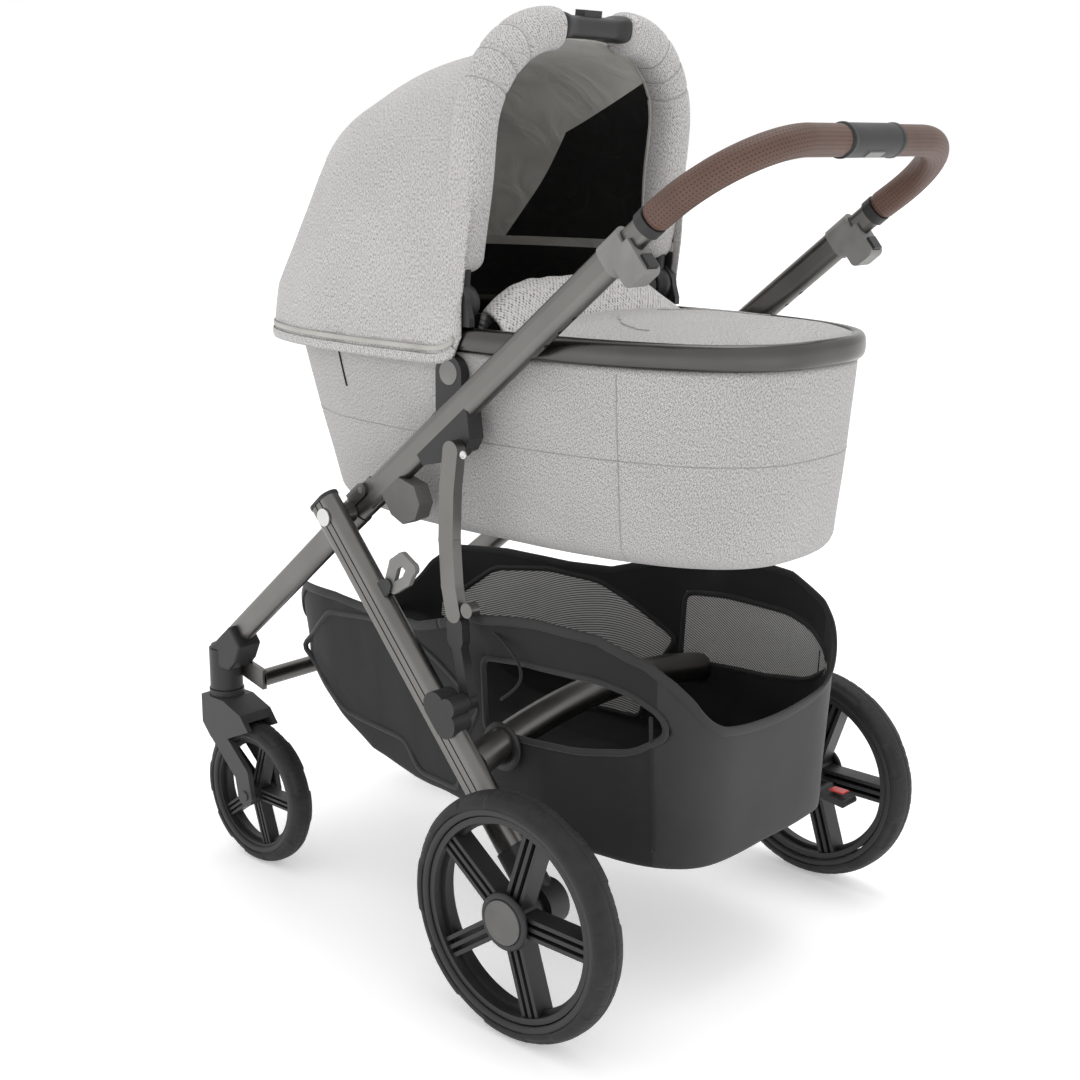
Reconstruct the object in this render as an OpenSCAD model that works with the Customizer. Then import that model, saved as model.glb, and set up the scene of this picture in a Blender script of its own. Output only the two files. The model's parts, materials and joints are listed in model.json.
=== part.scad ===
// Baby stroller with a bassinet: telescoping handle, folding frame, swivelling front wheels.
// +Z is up, +Y is the handle side, +X is the left side of the stroller.

/* [Frame] */
// Half distance between the upper tubes
frame_half = 217; // [200:1:262]
// Slope of the upper and front tubes
rake = 39.2; // [36:0.1:42]
// Distance of the fold knuckle ahead of the rear axle
knuckle_ahead = 322; // [300:1:345]
// Height of the fold knuckle
knuckle_up = 565.8; // [545:1:590]
// Height of the tube section
tube_high = 36.5; // [32:0.5:44]
// Width of the tube section
tube_wide = 22; // [18.4:0.2:26.4]
// Tube wall
tube_wall = 2; // [1.5:0.1:2.5]
// Length of the upper tube from the knuckle to the collar
upper_len = 474; // [395:1:570]

/* [Rear legs] */
// Height of the rear leg section
leg_high = 44; // [36:1:50]
// Width of the rear leg section
leg_wide = 25; // [20:1:30]
// Diameter of the arched axle tube
axle_tube_d = 40; // [33:1:44]
// Rise of the arch of the axle tube
axle_arch = 37; // [20:1:50]

/* [Wheels] */
// Rear wheel radius
rear_r = 146; // [135:1:155]
// Rear wheel width
rear_w = 42; // [35:1:50]
// Front wheel radius
front_r = 101.5; // [92:0.5:104]
// Front wheel width
front_w = 34; // [28:1:40]
// Distance of the caster swivel ahead of the rear axle
caster_ahead = 650; // [630:1:680]
// Trail of the front wheel behind its swivel
caster_trail = 66; // [56:1:72]
// Axle pin diameter of the rear wheels
axle_d = 12; // [10:0.5:14.4]

/* [Handle] */
// Grip diameter
grip_d = 34; // [29:1:38]
// Handle tube diameter under the grips
handle_d = 25; // [22:0.5:27]
// Corner radius of the handle loop
handle_corner = 108; // [90:1:125]
// Travel of the telescoping handle
handle_travel = 76.2; // [60:0.1:91]

/* [Bassinet] */
// Half length of the rim
rim_long = 405; // [350:1:430]
// Height of the underside of the rim
rim_up = 749; // [735:1:765]
// Height of the rim section
rim_high = 32; // [27:1:38]
// Height of the bassinet floor
floor_up = 526; // [505:1:560]
// Wall of the soft shell
shell_wall = 9; // [7:0.5:11]
// Height of the canopy above its hub
canopy_high = 317; // [265:1:330]

/* [Hidden] */

$fn = 64;
eps = 0.01;
run_fit = 0.06;   // radial clearance of a turning pin
slide_fit = 0.4;  // clearance of a sliding piece
skin_gap = 0.5;   // gap between bodies that pass each other

// Layers across the stroller, from the middle outwards
side_gap = 2;
strut_wide = 14;
strut_in = frame_half + tube_wide / 2 + side_gap;
strut_half = strut_in + strut_wide / 2;
leg_in = strut_in + strut_wide + side_gap;
leg_half = leg_in + leg_wide / 2;
leg_out = leg_in + leg_wide;
wheel_in = leg_out + 13;
rear_half = wheel_in + rear_w / 2;
caster_half = frame_half - 17;
bassinet_half = frame_half - tube_wide / 2 - 7;

// Places in the side view; the rear axle is at y = 0
hinge_lift = 11;
hinge_ear = 9;
hinge_pin_r = 4;
ear_start = -26;
tube_start = 22;
pivot_s = -33.5;
leg_pivot = along(pivot_s, 0);
leg_run = [-leg_pivot[0], rear_r - leg_pivot[1]];
leg_angle = atan2(leg_run[1], leg_run[0]);
leg_len = norm(leg_run);
collar_len = 34;
grip_s = upper_len + 73;
grip_start = along(grip_s, 0);
loop_tilt = rake - 3.8;
loop_reach = 131;
grip_end_y = grip_start[0] + loop_reach * cos(loop_tilt);
caster_y = -caster_ahead;
front_axle_y = caster_y + caster_trail;
socket_low = 2 * front_r + 29;
socket_high = socket_low + 72;

// The whole model is moved so that the middle of its length is at y = 0
front_reach = front_r - front_axle_y;
rear_reach = grip_end_y + grip_d / 2;
axle_y = (front_reach - rear_reach) / 2;

// Bassinet plan: a superellipse
plan_power = 2.8;
bassinet_y = leg_pivot[0] + 134;
hub_y = bassinet_y + 10;
hub_up = rim_up + rim_high + 25;
hood_half = bassinet_half + 4.5;

gunmetal = "#5b5854";
grey = "#77746f";
black = "#222326";
cloth = "#b4b2b0";
leather = "#5a3d30";

// Point of the frame line at distance s above the knuckle and n off its axis
function along(s, n) = [-knuckle_ahead + s * cos(rake) - n * sin(rake),
    knuckle_up + s * sin(rake) + n * cos(rake)];
function signed_pow(v, p) = sign(v) * pow(abs(v), p);
// Point t degrees round a superellipse with half axes a and b
function plan_point(a, b, t) =
    [a * signed_pow(cos(t), 2 / plan_power), b * signed_pow(sin(t), 2 / plan_power)];
function plan_ring(a, b, y, z, n) =
    [for (i = [0:n - 1]) let (p = plan_point(a, b, 360 * (i + 0.5) / n)) [p[0], p[1] + y, z]];
function flat(v) = [for (a = v) for (b = a) b];

module at_row() { translate([0, axle_y, 0]) children(); }
module sides() { children(); mirror([1, 0, 0]) children(); }
module on_side(side) { mirror([side < 0 ? 1 : 0, 0, 0]) children(); }
module at_knuckle() { translate([0, -knuckle_ahead, knuckle_up]) rotate([rake, 0, 0]) children(); }
module at_leg() { translate([0, leg_pivot[0], leg_pivot[1]]) rotate([leg_angle, 0, 0]) children(); }
// Extrudes a side view drawn in (y, z) across x from x0 to x1
module across(x0, x1) { translate([x0, 0, 0]) rotate([90, 0, 90]) linear_extrude(x1 - x0) children(); }
module pin_x(r, x0, x1, y, z) { translate([x0, y, z]) rotate([0, 90, 0]) cylinder(r = r, h = x1 - x0); }
module oval(w, h) {
    square([w, h - w], center = true);
    for (s = [-1, 1]) translate([0, s * (h - w) / 2]) circle(d = w);
}
module bar(w, h, len) { rotate([-90, 0, 0]) linear_extrude(len) oval(w, h); }
module tube(w, h, wall, len) {
    rotate([-90, 0, 0]) linear_extrude(len) difference() {
        oval(w, h);
        oval(w - 2 * wall, h - 2 * wall);
    }
}
// A band of width w along the points of a side view, a little wider at each point
band_knuckle = 0.6;
module band(pts, w) {
    for (i = [0:len(pts) - 2]) let (d = pts[i + 1] - pts[i]) {
        translate(pts[i]) rotate(atan2(d[1], d[0])) translate([0, -w / 2]) square([norm(d), w]);
        translate(pts[i + 1]) circle(d = w + band_knuckle);
    }
    translate(pts[0]) circle(d = w + band_knuckle);
}
// Solid between rings of equal count, closed by its first and last ring
module loft(rings) {
    n = len(rings[0]);
    m = len(rings);
    polyhedron(points = flat(rings), faces = concat(
        [[for (i = [0:n - 1]) i]],
        [for (k = [0:m - 2]) for (i = [0:n - 1])
            [k * n + i, (k + 1) * n + i, (k + 1) * n + (i + 1) % n, k * n + (i + 1) % n]],
        [[for (i = [n - 1:-1:0]) (m - 1) * n + i]]));
}
// Solid between two equal grids of points, closed along its four edges
module thick_sheet(top, low) {
    r = len(top);
    c = len(top[0]);
    o = r * c;
    polyhedron(points = concat(flat(top), flat(low)), faces = concat(
        [for (i = [0:r - 2]) for (j = [0:c - 2])
            [i * c + j, i * c + j + 1, (i + 1) * c + j + 1, (i + 1) * c + j]],
        [for (i = [0:r - 2]) for (j = [0:c - 2])
            [o + (i + 1) * c + j, o + (i + 1) * c + j + 1, o + i * c + j + 1, o + i * c + j]],
        [for (j = [0:c - 2]) [o + j, o + j + 1, j + 1, j]],
        [for (j = [0:c - 2]) [(r - 1) * c + j, (r - 1) * c + j + 1, o + (r - 1) * c + j + 1, o + (r - 1) * c + j]],
        [for (i = [0:r - 2]) [i * c, (i + 1) * c, o + (i + 1) * c, o + i * c]],
        [for (i = [0:r - 2]) [o + i * c + c - 1, o + (i + 1) * c + c - 1, (i + 1) * c + c - 1, i * c + c - 1]]));
}

// ---- Rear frame ----
leg_top = -20;
leg_low = leg_len - 32;
leg_wall = 2.2;
groove_deep = 1.2;
module rear_leg(side) {
    color(gunmetal) at_row() on_side(side) at_leg() difference() {
        translate([leg_half, leg_top, 0]) tube(leg_wide, leg_high, leg_wall, leg_low - leg_top);
        pin_x(7 + run_fit, leg_in - 1, leg_out + 1, 0, 0);
        for (z = [-5, 5])
            translate([leg_out - groove_deep, leg_top - 1, z - 1]) cube([4, leg_low - leg_top + 2, 2]);
    }
}
module rear_leg_left() { rear_leg(1); }
module rear_leg_right() { rear_leg(-1); }
module rear_leg_caps() {
    color(black) at_row() sides() at_leg() {
        translate([leg_half, leg_top - 4, 0]) bar(leg_wide + 2, leg_high + 2, 4);
        difference() {
            translate([leg_half, leg_top, 0])
                bar(leg_wide - 2 * leg_wall, leg_high - 2 * leg_wall, 32);
            pin_x(7 + run_fit, leg_in, leg_out, 0, 0);
        }
    }
}
// The axle tube is an arc that rises at its middle and ends inside the rear legs
axle_s = 0.66 * leg_len;
axle_end_y = leg_pivot[0] + axle_s * cos(leg_angle);
axle_end_z = leg_pivot[1] + axle_s * sin(leg_angle);
axle_half = leg_in;
arch_r = (axle_half * axle_half + axle_arch * axle_arch) / (2 * axle_arch);
arch_span = asin(axle_half / arch_r);
function arch_z(x) = axle_end_z + axle_arch - arch_r + sqrt(arch_r * arch_r - x * x);
module rear_axle_tube() {
    color(gunmetal) at_row() translate([0, axle_end_y, axle_end_z + axle_arch - arch_r])
        rotate([90, 0, 0]) rotate([0, 0, 90 - arch_span])
        rotate_extrude(angle = 2 * arch_span, $fn = 160) translate([arch_r, 0]) difference() {
            circle(d = axle_tube_d);
            circle(d = axle_tube_d - 4);
        }
}
module wheel_mounts() {
    color(black) at_row() sides() difference() {
        union() {
            at_leg() translate([leg_half, leg_low - 40, 0]) bar(leg_wide + 4, leg_high + 4, 62);
            pin_x(27, leg_in - 3, leg_out + 3, 0, rear_r);
            pin_x(17, leg_out, wheel_in - 4, 0, rear_r);
        }
        at_leg() translate([leg_half, leg_low - 41, 0]) bar(leg_wide, leg_high, 41);
        pin_x(axle_d / 2, leg_in - 5, wheel_in, 0, rear_r);
    }
    color(black) at_row() mirror([1, 0, 0]) {
        difference() {
            across(leg_out + skin_gap, leg_out + 6) band([[18, rear_r - 2], [pedal_y, pedal_up]], 16);
            pin_x(27 - eps, leg_in, wheel_in, 0, rear_r);
        }
        pin_x(hook_pin_r, leg_in - 4, leg_out + 1, pedal_y, pedal_up);
    }
}
module axle_pins() {
    color("silver") at_row() sides() pin_x(axle_d / 2, leg_in - 1, rear_half + rear_w / 2 - 5, 0, rear_r);
}
strut_at = 285;
strut_off = leg_high / 2 + 9;
strut_pin_r = 5;
module strut_brackets() {
    color(black) at_row() sides() at_leg() {
        difference() {
            union() {
                across(leg_in, leg_out + 4) translate([strut_at, 14]) rotate(90) oval(34, 60);
                pin_x(12, leg_in, leg_out + 4, strut_at, strut_off);
            }
            translate([leg_half, 0, 0]) bar(leg_wide, leg_high, leg_len);
        }
        pin_x(strut_pin_r, strut_in - 1, leg_in, strut_at, strut_off);
    }
    color(black) at_row() at_leg() {
        for (x = [-7.5, 4.5]) difference() {
            across(leg_half + x, leg_half + x + 3) {
                translate([hook_at, hook_off]) circle(r = 8);
                translate([hook_at - 10, leg_high / 2 - 6]) square([20, hook_off - leg_high / 2 + 6]);
            }
            translate([leg_half, 0, 0]) bar(leg_wide, leg_high, leg_len);
        }
        pin_x(hook_pin_r, leg_half - 7.5, leg_half + 7.5, hook_at, hook_off);
    }
}
hook_at = 118;
hook_off = leg_high / 2 + 10;
hook_pin_r = 4;
module frame_lock_hook() {
    color(grey) at_row() at_leg() difference() {
        across(leg_half - 3.5, leg_half + 3.5) difference() {
            union() {
                translate([hook_at, hook_off + 2]) circle(r = 9);
                band([[hook_at, hook_off], [hook_at - 14, hook_off + 24], [hook_at - 12, hook_off + 40],
                    [hook_at + 6, hook_off + 46]], 15);
                band([[hook_at + 8, hook_off + 4], [hook_at + 12, hook_off + 28], [hook_at + 6, hook_off + 46]], 13);
            }
        }
        pin_x(hook_pin_r + run_fit, leg_in, leg_out, hook_at, hook_off);
    }
}
pedal_y = 44;
pedal_up = rear_r - 4;
module brake_pedal() {
    color(black) at_row() mirror([1, 0, 0]) difference() {
        across(leg_in - 4, leg_out) union() {
            translate([pedal_y, pedal_up]) circle(r = 9);
            translate([pedal_y - 2, pedal_up - 2]) rotate(-8) square([44, 9]);
            translate([pedal_y + 40, pedal_up - 3]) circle(r = 5);
        }
        pin_x(hook_pin_r + run_fit, leg_in - 5, leg_out + 1, pedal_y, pedal_up);
    }
}

// ---- Basket ----
basket_half = caster_half - front_w / 2 - 17;
basket_wall = 4;
basket_floor = 174;
basket_front_y = -300;
basket_rear_y = 92;
basket_corner = 70;
basket_top = 392;
module basket_plan(inset) {
    translate([-basket_half + inset, basket_front_y + inset])
        square([2 * (basket_half - inset), basket_rear_y - basket_front_y - basket_corner - inset]);
    for (s = [-1, 1]) translate([s * (basket_half - basket_corner), basket_rear_y - basket_corner])
        circle(r = basket_corner - inset);
    translate([-basket_half + basket_corner, basket_rear_y - 2 * basket_corner])
        square([2 * (basket_half - basket_corner), 2 * basket_corner - inset]);
}
module basket_rear() {
    color(black) at_row() difference() {
        translate([0, 0, basket_floor]) difference() {
            linear_extrude(basket_top - basket_floor) basket_plan(0);
            translate([0, 0, basket_wall]) linear_extrude(basket_top) basket_plan(basket_wall);
            translate([-basket_half + basket_wall, basket_front_y - 1, basket_wall])
                cube([2 * (basket_half - basket_wall), 10, basket_top]);
        }
        pin_x(axle_tube_d / 2 + 6, -basket_half - 5, basket_half + 5, axle_end_y,
            arch_z(basket_half - 2));
        translate([0, basket_rear_y + 50, basket_top + 60]) rotate([90, 0, 0]) cylinder(r = 130, h = 130);
    }
}
// Front wing of the basket: floor that climbs to the front cross tube, with low sides
wing_front_y = caster_y + 62;
wing_front_z = 300;
wing_floor = [[basket_front_y - 1, basket_floor], [basket_front_y - 90, basket_floor + 8],
    [(basket_front_y + wing_front_y) / 2 - 20, basket_floor + 42], [wing_front_y, wing_front_z]];
module basket_front() {
    color(black) at_row() {
        across(-basket_half, basket_half) intersection() {
            band(wing_floor, basket_wall);
            translate([wing_front_y - 20, 0]) square([basket_front_y - wing_front_y + 18, 800]);
        }
        for (s = [-1, 1]) across(s * basket_half - 2, s * basket_half + 2) polygon(concat(
            [for (p = wing_floor) p + [0, 1]],
            [[wing_front_y, wing_front_z + 30], [-470, 420], [-420, 450], [basket_front_y - 1, 400]]));
    }
}

// ---- Front frame ----
sleeve_low = -70;
front_turn_s = -72;
front_low = along(-(caster_ahead - 22 - knuckle_ahead) / cos(rake), 0);
front_turn = along(front_turn_s, 0);
front_run = norm(front_low - front_turn);
toe_angle = atan2(frame_half - caster_half, front_run);
module front_leg(side) {
    color(gunmetal) at_row() on_side(side) at_knuckle() difference() {
        union() {
            translate([frame_half, front_turn_s, 0])
                bar(tube_wide, tube_high, ear_start - 4 - front_turn_s);
            translate([frame_half, front_turn_s + 8, 0]) rotate([0, 0, 180 - toe_angle])
                bar(tube_wide - 1.4, tube_high - 1.5, front_run / cos(toe_angle) + 8);
        }
        translate([frame_half, front_turn_s - 4, 0]) rotate([0, 0, 180 - toe_angle])
            bar(tube_wide - 1.4 - 2 * tube_wall, tube_high - 1.5 - 2 * tube_wall, front_run / cos(toe_angle) + 8);
        pin_x(6, frame_half - 20, frame_half + 20, pivot_s, 0);
        rotate([-rake, 0, 0]) translate([caster_half, caster_y + knuckle_ahead, -knuckle_up])
            cylinder(d = 46 - eps, h = 500);
    }
}
module front_leg_left() { front_leg(1); }
module front_leg_right() { front_leg(-1); }
module knuckles() {
    color(gunmetal) at_row() sides() at_knuckle() difference() {
        union() {
            difference() {
                translate([frame_half, sleeve_low, 0]) bar(tube_wide + 4, tube_high + 3, ear_start - sleeve_low);
                translate([frame_half, sleeve_low - 1, 0]) bar(tube_wide, tube_high, ear_start - 4 - sleeve_low + 1);
            }
            for (x = [-tube_wide / 2 - 1.5, 8.3]) translate([frame_half, 0, 0])
                across(x, x + tube_wide / 2 - 6.8) {
                    translate([0, hinge_lift]) circle(r = hinge_ear);
                    translate([ear_start - 1, hinge_lift - hinge_ear]) square([1 - ear_start, 2 * hinge_ear]);
                }
            pin_x(13, frame_half + tube_wide / 2 + 1, leg_in - skin_gap, pivot_s, 0);
        }
        pin_x(hinge_pin_r, frame_half - 20, frame_half + 20, 0, hinge_lift);
        pin_x(6, frame_half - 30, leg_in + 5, pivot_s, 0);
    }
}
module hinge_pins() {
    color("silver") at_row() sides() at_knuckle() {
        pin_x(hinge_pin_r, frame_half - tube_wide / 2 - 1.5, frame_half + tube_wide / 2 + 1.5, 0, hinge_lift);
        pin_x(6, frame_half - tube_wide / 2 - 2, leg_in - skin_gap, pivot_s, 0);
        pin_x(7, leg_in - skin_gap, leg_out + 1, pivot_s, 0);
        pin_x(11, leg_out + skin_gap, leg_out + 3, pivot_s, 0);
    }
}
cross_y = caster_y + 58;
cross_z = 262;
cross_half = caster_half - 17;
module front_cross_tube() {
    color(gunmetal) at_row() difference() {
        union() {
            pin_x(12, -cross_half, cross_half, cross_y, cross_z);
            sides() across(caster_half - 19, caster_half - 12) polygon([[cross_y + 8, cross_z - 14],
                [cross_y + 8, cross_z + 14], [caster_y + 10, cross_z + 26], [caster_y + 10, cross_z]]);
        }
        pin_x(10, -cross_half - 1, cross_half + 1, cross_y, cross_z);
        sides() translate([caster_half, caster_y, 0]) cylinder(d = 46, h = 500);
    }
}
stem_r = 9;
module caster_sockets() {
    color(black) at_row() sides() translate([caster_half, caster_y, 0]) difference() {
        union() {
            translate([0, 0, socket_low + 10]) cylinder(d = 46, h = socket_high - socket_low - 14);
            translate([0, 0, socket_high - 4]) cylinder(d = 40, h = 4);
            translate([0, 0, socket_low]) cylinder(d = 49, h = 9);
        }
        translate([0, 0, socket_low - 1]) cylinder(r = stem_r + run_fit, h = 46);
    }
}
fork_leg = 8;
fork_in = front_w / 2 + 2;
module caster_fork(side) {
    color(black) at_row() on_side(side) translate([caster_half, 0, 0]) {
        translate([0, caster_y, socket_low - skin_gap - 1]) cylinder(r = stem_r, h = 42);
        intersection() {
            translate([0, caster_y + 30, 200]) cube([2 * (fork_in + fork_leg), 140, 400], center = true);
            difference() {
                across(-fork_in - fork_leg, fork_in + fork_leg) {
                    polygon([[caster_y - 24, socket_low - skin_gap], [caster_y + 24, socket_low - skin_gap],
                        [caster_y + 62, socket_low - 14], [caster_y + 78, socket_low - 34],
                        [caster_y + 20, socket_low - 60], [caster_y - 6, socket_low - 62],
                        [caster_y - 24, socket_low - 42]]);
                    band([[caster_y, socket_low - 46], [front_axle_y - 6, front_r + 30], [front_axle_y, front_r]], 30);
                }
                pin_x(front_r + 5, -fork_in, fork_in, front_axle_y, front_r);
            }
        }
        pin_x(hinge_pin_r, -fork_in - fork_leg, fork_in + fork_leg, front_axle_y, front_r);
        pin_x(7, fork_in + fork_leg, fork_in + fork_leg + 2, front_axle_y, front_r);
    }
}
module caster_fork_left() { caster_fork(1); }
module caster_fork_right() { caster_fork(-1); }

// ---- Wheels ----
// Tyre: rounded tread and flat sidewalls round the rim seat
module tyre(r, w, seat) {
    rotate([0, 90, 0]) rotate_extrude($fn = 160) difference() {
        union() {
            translate([seat, -w / 2 + 5]) square([r - seat - 12, w - 10]);
            translate([seat + 2, -w / 2]) square([r - seat - 14, w]);
            intersection() {
                translate([r - w * 0.62, 0]) scale([1, 1]) circle(r = w * 0.62);
                translate([r - 12 - eps, -w / 2]) square([13, w]);
            }
        }
    }
}
// Rim: hub, ring and five spokes of three ribs
module rim(seat, w, hub_r, hub_w, bore_r, rib) {
    difference() {
        union() {
            rotate([0, 90, 0]) rotate_extrude($fn = 160) {
                translate([seat - 7, -w / 2 + 3]) square([7, w - 6]);
                translate([seat - 12, -3]) square([6, 6]);
            }
            rotate([0, 90, 0]) cylinder(r = hub_r, h = hub_w, center = true);
            for (k = [0:4]) rotate([72 * k, 0, 0]) {
                for (z = [-1, 0, 1]) translate([-w / 2 + 6, hub_r - 4, z * rib * 2 - rib / 2])
                    cube([w - 12, seat - hub_r - 2, rib]);
                translate([-2, hub_r - 4, -2.5 * rib]) cube([4, seat - hub_r - 2, 5 * rib]);
            }
        }
        rotate([0, 90, 0]) cylinder(r = bore_r, h = 3 * hub_w, center = true);
    }
}
front_seat = front_r - 20;
rear_seat = rear_r - 26;
module front_wheel_place(side) { at_row() on_side(side) translate([caster_half, front_axle_y, front_r]) children(); }
module rear_wheel_place(side) { at_row() on_side(side) translate([rear_half, 0, rear_r]) children(); }
module front_tyre_left() { color(black) front_wheel_place(1) tyre(front_r, front_w, front_seat); }
module front_tyre_right() { color(black) front_wheel_place(-1) tyre(front_r, front_w, front_seat); }
module front_rim(side) {
    color(black) front_wheel_place(side) rim(front_seat, front_w - 4, 15, front_w + 2, hinge_pin_r + run_fit, 3.4);
}
module front_rim_left() { front_rim(1); }
module front_rim_right() { front_rim(-1); }
module rear_tyre_left() { color(black) rear_wheel_place(1) tyre(rear_r, rear_w, rear_seat); }
module rear_tyre_right() { color(black) rear_wheel_place(-1) tyre(rear_r, rear_w, rear_seat); }
module rear_rim(side) {
    color(black) rear_wheel_place(side) difference() {
        rim(rear_seat, rear_w - 4, 24, rear_w - 2, axle_d / 2 + run_fit, 5);
        translate([rear_w / 2 - 5, 0, 0]) rotate([0, 90, 0]) cylinder(r = 20, h = 10);
    }
}
module rear_rim_left() { rear_rim(1); }
module rear_rim_right() { rear_rim(-1); }
module rear_cap(side) {
    color(grey) rear_wheel_place(side) {
        translate([rear_w / 2 - 4.6, 0, 0]) rotate([0, 90, 0]) cylinder(r = 20, h = 3.6);
        translate([rear_w / 2 - 1, 0, 0]) rotate([0, 90, 0]) cylinder(r = 26, h = 3);
    }
}
module rear_cap_left() { rear_cap(1); }
module rear_cap_right() { rear_cap(-1); }

// ---- Upper frame ----
inner_wide = tube_wide - 2 * tube_wall - 2.5;
inner_high = tube_high - 2 * tube_wall - 2.5;
detent_count = 4;
detent_step = handle_travel / (detent_count - 1);
detent_s = upper_len - 150;
module upper_tube(side) {
    color(gunmetal) at_row() on_side(side) at_knuckle() translate([frame_half, 0, 0]) difference() {
        union() {
            translate([0, tube_start, 0]) tube(tube_wide, tube_high, tube_wall, upper_len + 10 - tube_start);
            intersection() {
                translate([0, ear_start + 1, 0]) tube(tube_wide, tube_high, tube_wall, tube_start - ear_start);
                translate([-20, ear_start, -40])
                    cube([40, tube_start - ear_start + 1, 40 + hinge_lift - hinge_ear - 1.5]);
            }
            intersection() {
                across(-8, 8) {
                    translate([0, hinge_lift]) circle(r = 7);
                    translate([0, -tube_high / 2 + tube_wall]) square([48, tube_high - 2 * tube_wall]);
                    translate([0, 0]) square([20, hinge_lift + 7]);
                }
                union() {
                    translate([0, tube_start, 0]) bar(tube_wide, tube_high, 40);
                    translate([-20, -9, -tube_high / 2]) cube([40, tube_start + 9, tube_high / 2 + hinge_lift + 7]);
                }
            }
        }
        pin_x(hinge_pin_r + run_fit, -20, 20, 0, hinge_lift);
        for (i = [0:detent_count - 1]) translate([0, detent_s + i * detent_step, -tube_high / 2 - 1]) cylinder(d = 6, h = 6);
    }
}
module upper_tube_left() { upper_tube(1); }
module upper_tube_right() { upper_tube(-1); }
// Six-sided socket under the tube, beside the knuckle
module accessory_sockets() {
    color(black) at_row() sides() at_knuckle() translate([frame_half, 0, 0]) difference() {
        across(-tube_wide / 2, tube_wide / 2 + 1) polygon([[30, -12], [68, -12], [84, -34], [78, -56],
            [60, -66], [38, -60], [28, -40]]);
        translate([0, 20, 0]) bar(tube_wide, tube_high, 100);
    }
}
module seat_mounts() {
    color(black) at_row() sides() at_knuckle() translate([frame_half, 0, 0]) difference() {
        union() {
            across(-tube_wide / 2 - 1.5, tube_wide / 2) polygon([[112, 0], [112, -22], [136, -34],
                [180, -46], [196, -40], [212, -14], [212, 0]]);
            pin_x(9, 0, strut_in - frame_half - skin_gap, 176, -40);
            across(bassinet_half + 3.5 - frame_half, -tube_wide / 2 + 3) translate([150, 2]) circle(r = 22);
        }
        translate([0, 100, 0]) bar(tube_wide, tube_high, 200);
    }
}
lug_low = tube_high / 2 + 24;
module handle_collars() {
    color(grey) at_row() sides() at_knuckle() translate([frame_half, upper_len, 0]) difference() {
        union() {
            bar(tube_wide + 4, tube_high + 4, collar_len);
            across(-tube_wide / 2 - 2, tube_wide / 2 + 2) {
                translate([10, -lug_low + 8]) square([collar_len - 10 + 8, lug_low - 8]);
                translate([18, -lug_low]) square([collar_len - 18, lug_low]);
                translate([18, -lug_low + 8]) circle(r = 8);
                translate([collar_len, -lug_low + 8]) circle(r = 8);
            }
        }
        translate([0, -1, 0]) bar(tube_wide, tube_high, 11);
        translate([0, -1, 0]) bar(inner_wide + 2 * slide_fit, inner_high + 2 * slide_fit, collar_len + 20);
        translate([-8.5, 14, -lug_low + 4]) cube([17, 60, 17]);
    }
}
module fold_trigger(side) {
    color(black) at_row() on_side(side) at_knuckle()
        translate([frame_half - 8, upper_len + 15, -lug_low + 4.5]) cube([16, 30, 16]);
}
module fold_trigger_left() { fold_trigger(1); }
module fold_trigger_right() { fold_trigger(-1); }

// ---- Side struts ----
function leg_point(t, m) = leg_pivot + t * [cos(leg_angle), sin(leg_angle)] + m * [-sin(leg_angle), cos(leg_angle)];
strut_base = leg_point(strut_at, strut_off);
strut_top = along(176, -40);
strut_path = [strut_top, strut_top + [-6, -46], strut_top + [-8, -106], strut_top + [-4, -160],
    strut_base + [-20, 105]];
link_top = strut_base + [-17, 74];
module side_strut(side) {
    color(grey) at_row() on_side(side) across(strut_in, strut_in + strut_wide) {
        band(strut_path, 23);
        translate(strut_base + [2, 112]) circle(r = 9);
    }
}
module side_strut_left() { side_strut(1); }
module side_strut_right() { side_strut(-1); }
module strut_link(side) {
    color(black) at_row() on_side(side) difference() {
        across(strut_in + 0.5, strut_in + strut_wide - 0.5) difference() {
            union() {
                band([strut_base + [-18, 90], link_top], 25);
                band([link_top, strut_base], 15);
                translate(strut_base) circle(r = 10);
            }
            band(strut_path, 23);
            translate(strut_base + [2, 112]) circle(r = 9);
        }
        pin_x(strut_pin_r + run_fit, strut_in - 1, leg_in, strut_base[0], strut_base[1]);
    }
}
module strut_link_left() { strut_link(1); }
module strut_link_right() { strut_link(-1); }

// ---- Handle ----
insert_len = 190;
module at_loop() { translate([0, grip_start[0], grip_start[1]]) rotate([loop_tilt, 0, 0]) children(); }
// The handle loop from arm distance p0, with corners, to the crossbar up to x_end from the middle
module loop_rod(r, p0, x_end) {
    sides() {
        translate([frame_half, p0, 0]) rotate([-90, 0, 0]) cylinder(r = r, h = loop_reach - handle_corner - p0);
        translate([frame_half - handle_corner, loop_reach - handle_corner, 0])
            rotate_extrude(angle = 90, $fn = 96) translate([handle_corner, 0]) circle(r = r);
        translate([x_end, loop_reach, 0]) rotate([0, 90, 0])
            cylinder(r = r, h = frame_half - handle_corner - x_end);
    }
}
module handle_bar() {
    color(gunmetal) at_row() {
        at_loop() loop_rod(handle_d / 2, 0, 0);
        sides() at_knuckle() translate([frame_half, grip_s - 14, 0]) rotate([-90, 0, 0])
            cylinder(d = handle_d - 1, h = 14);
        sides() at_knuckle() translate([frame_half, upper_len - insert_len, 0])
            bar(inner_wide, inner_high, grip_s - 13 - upper_len + insert_len);
    }
}
sleeve_half = 50;
module handle_grip() {
    color(leather) at_row() at_loop() difference() {
        loop_rod(grip_d / 2, 1, sleeve_half);
        loop_rod(handle_d / 2, -1, 0);
    }
}
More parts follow.
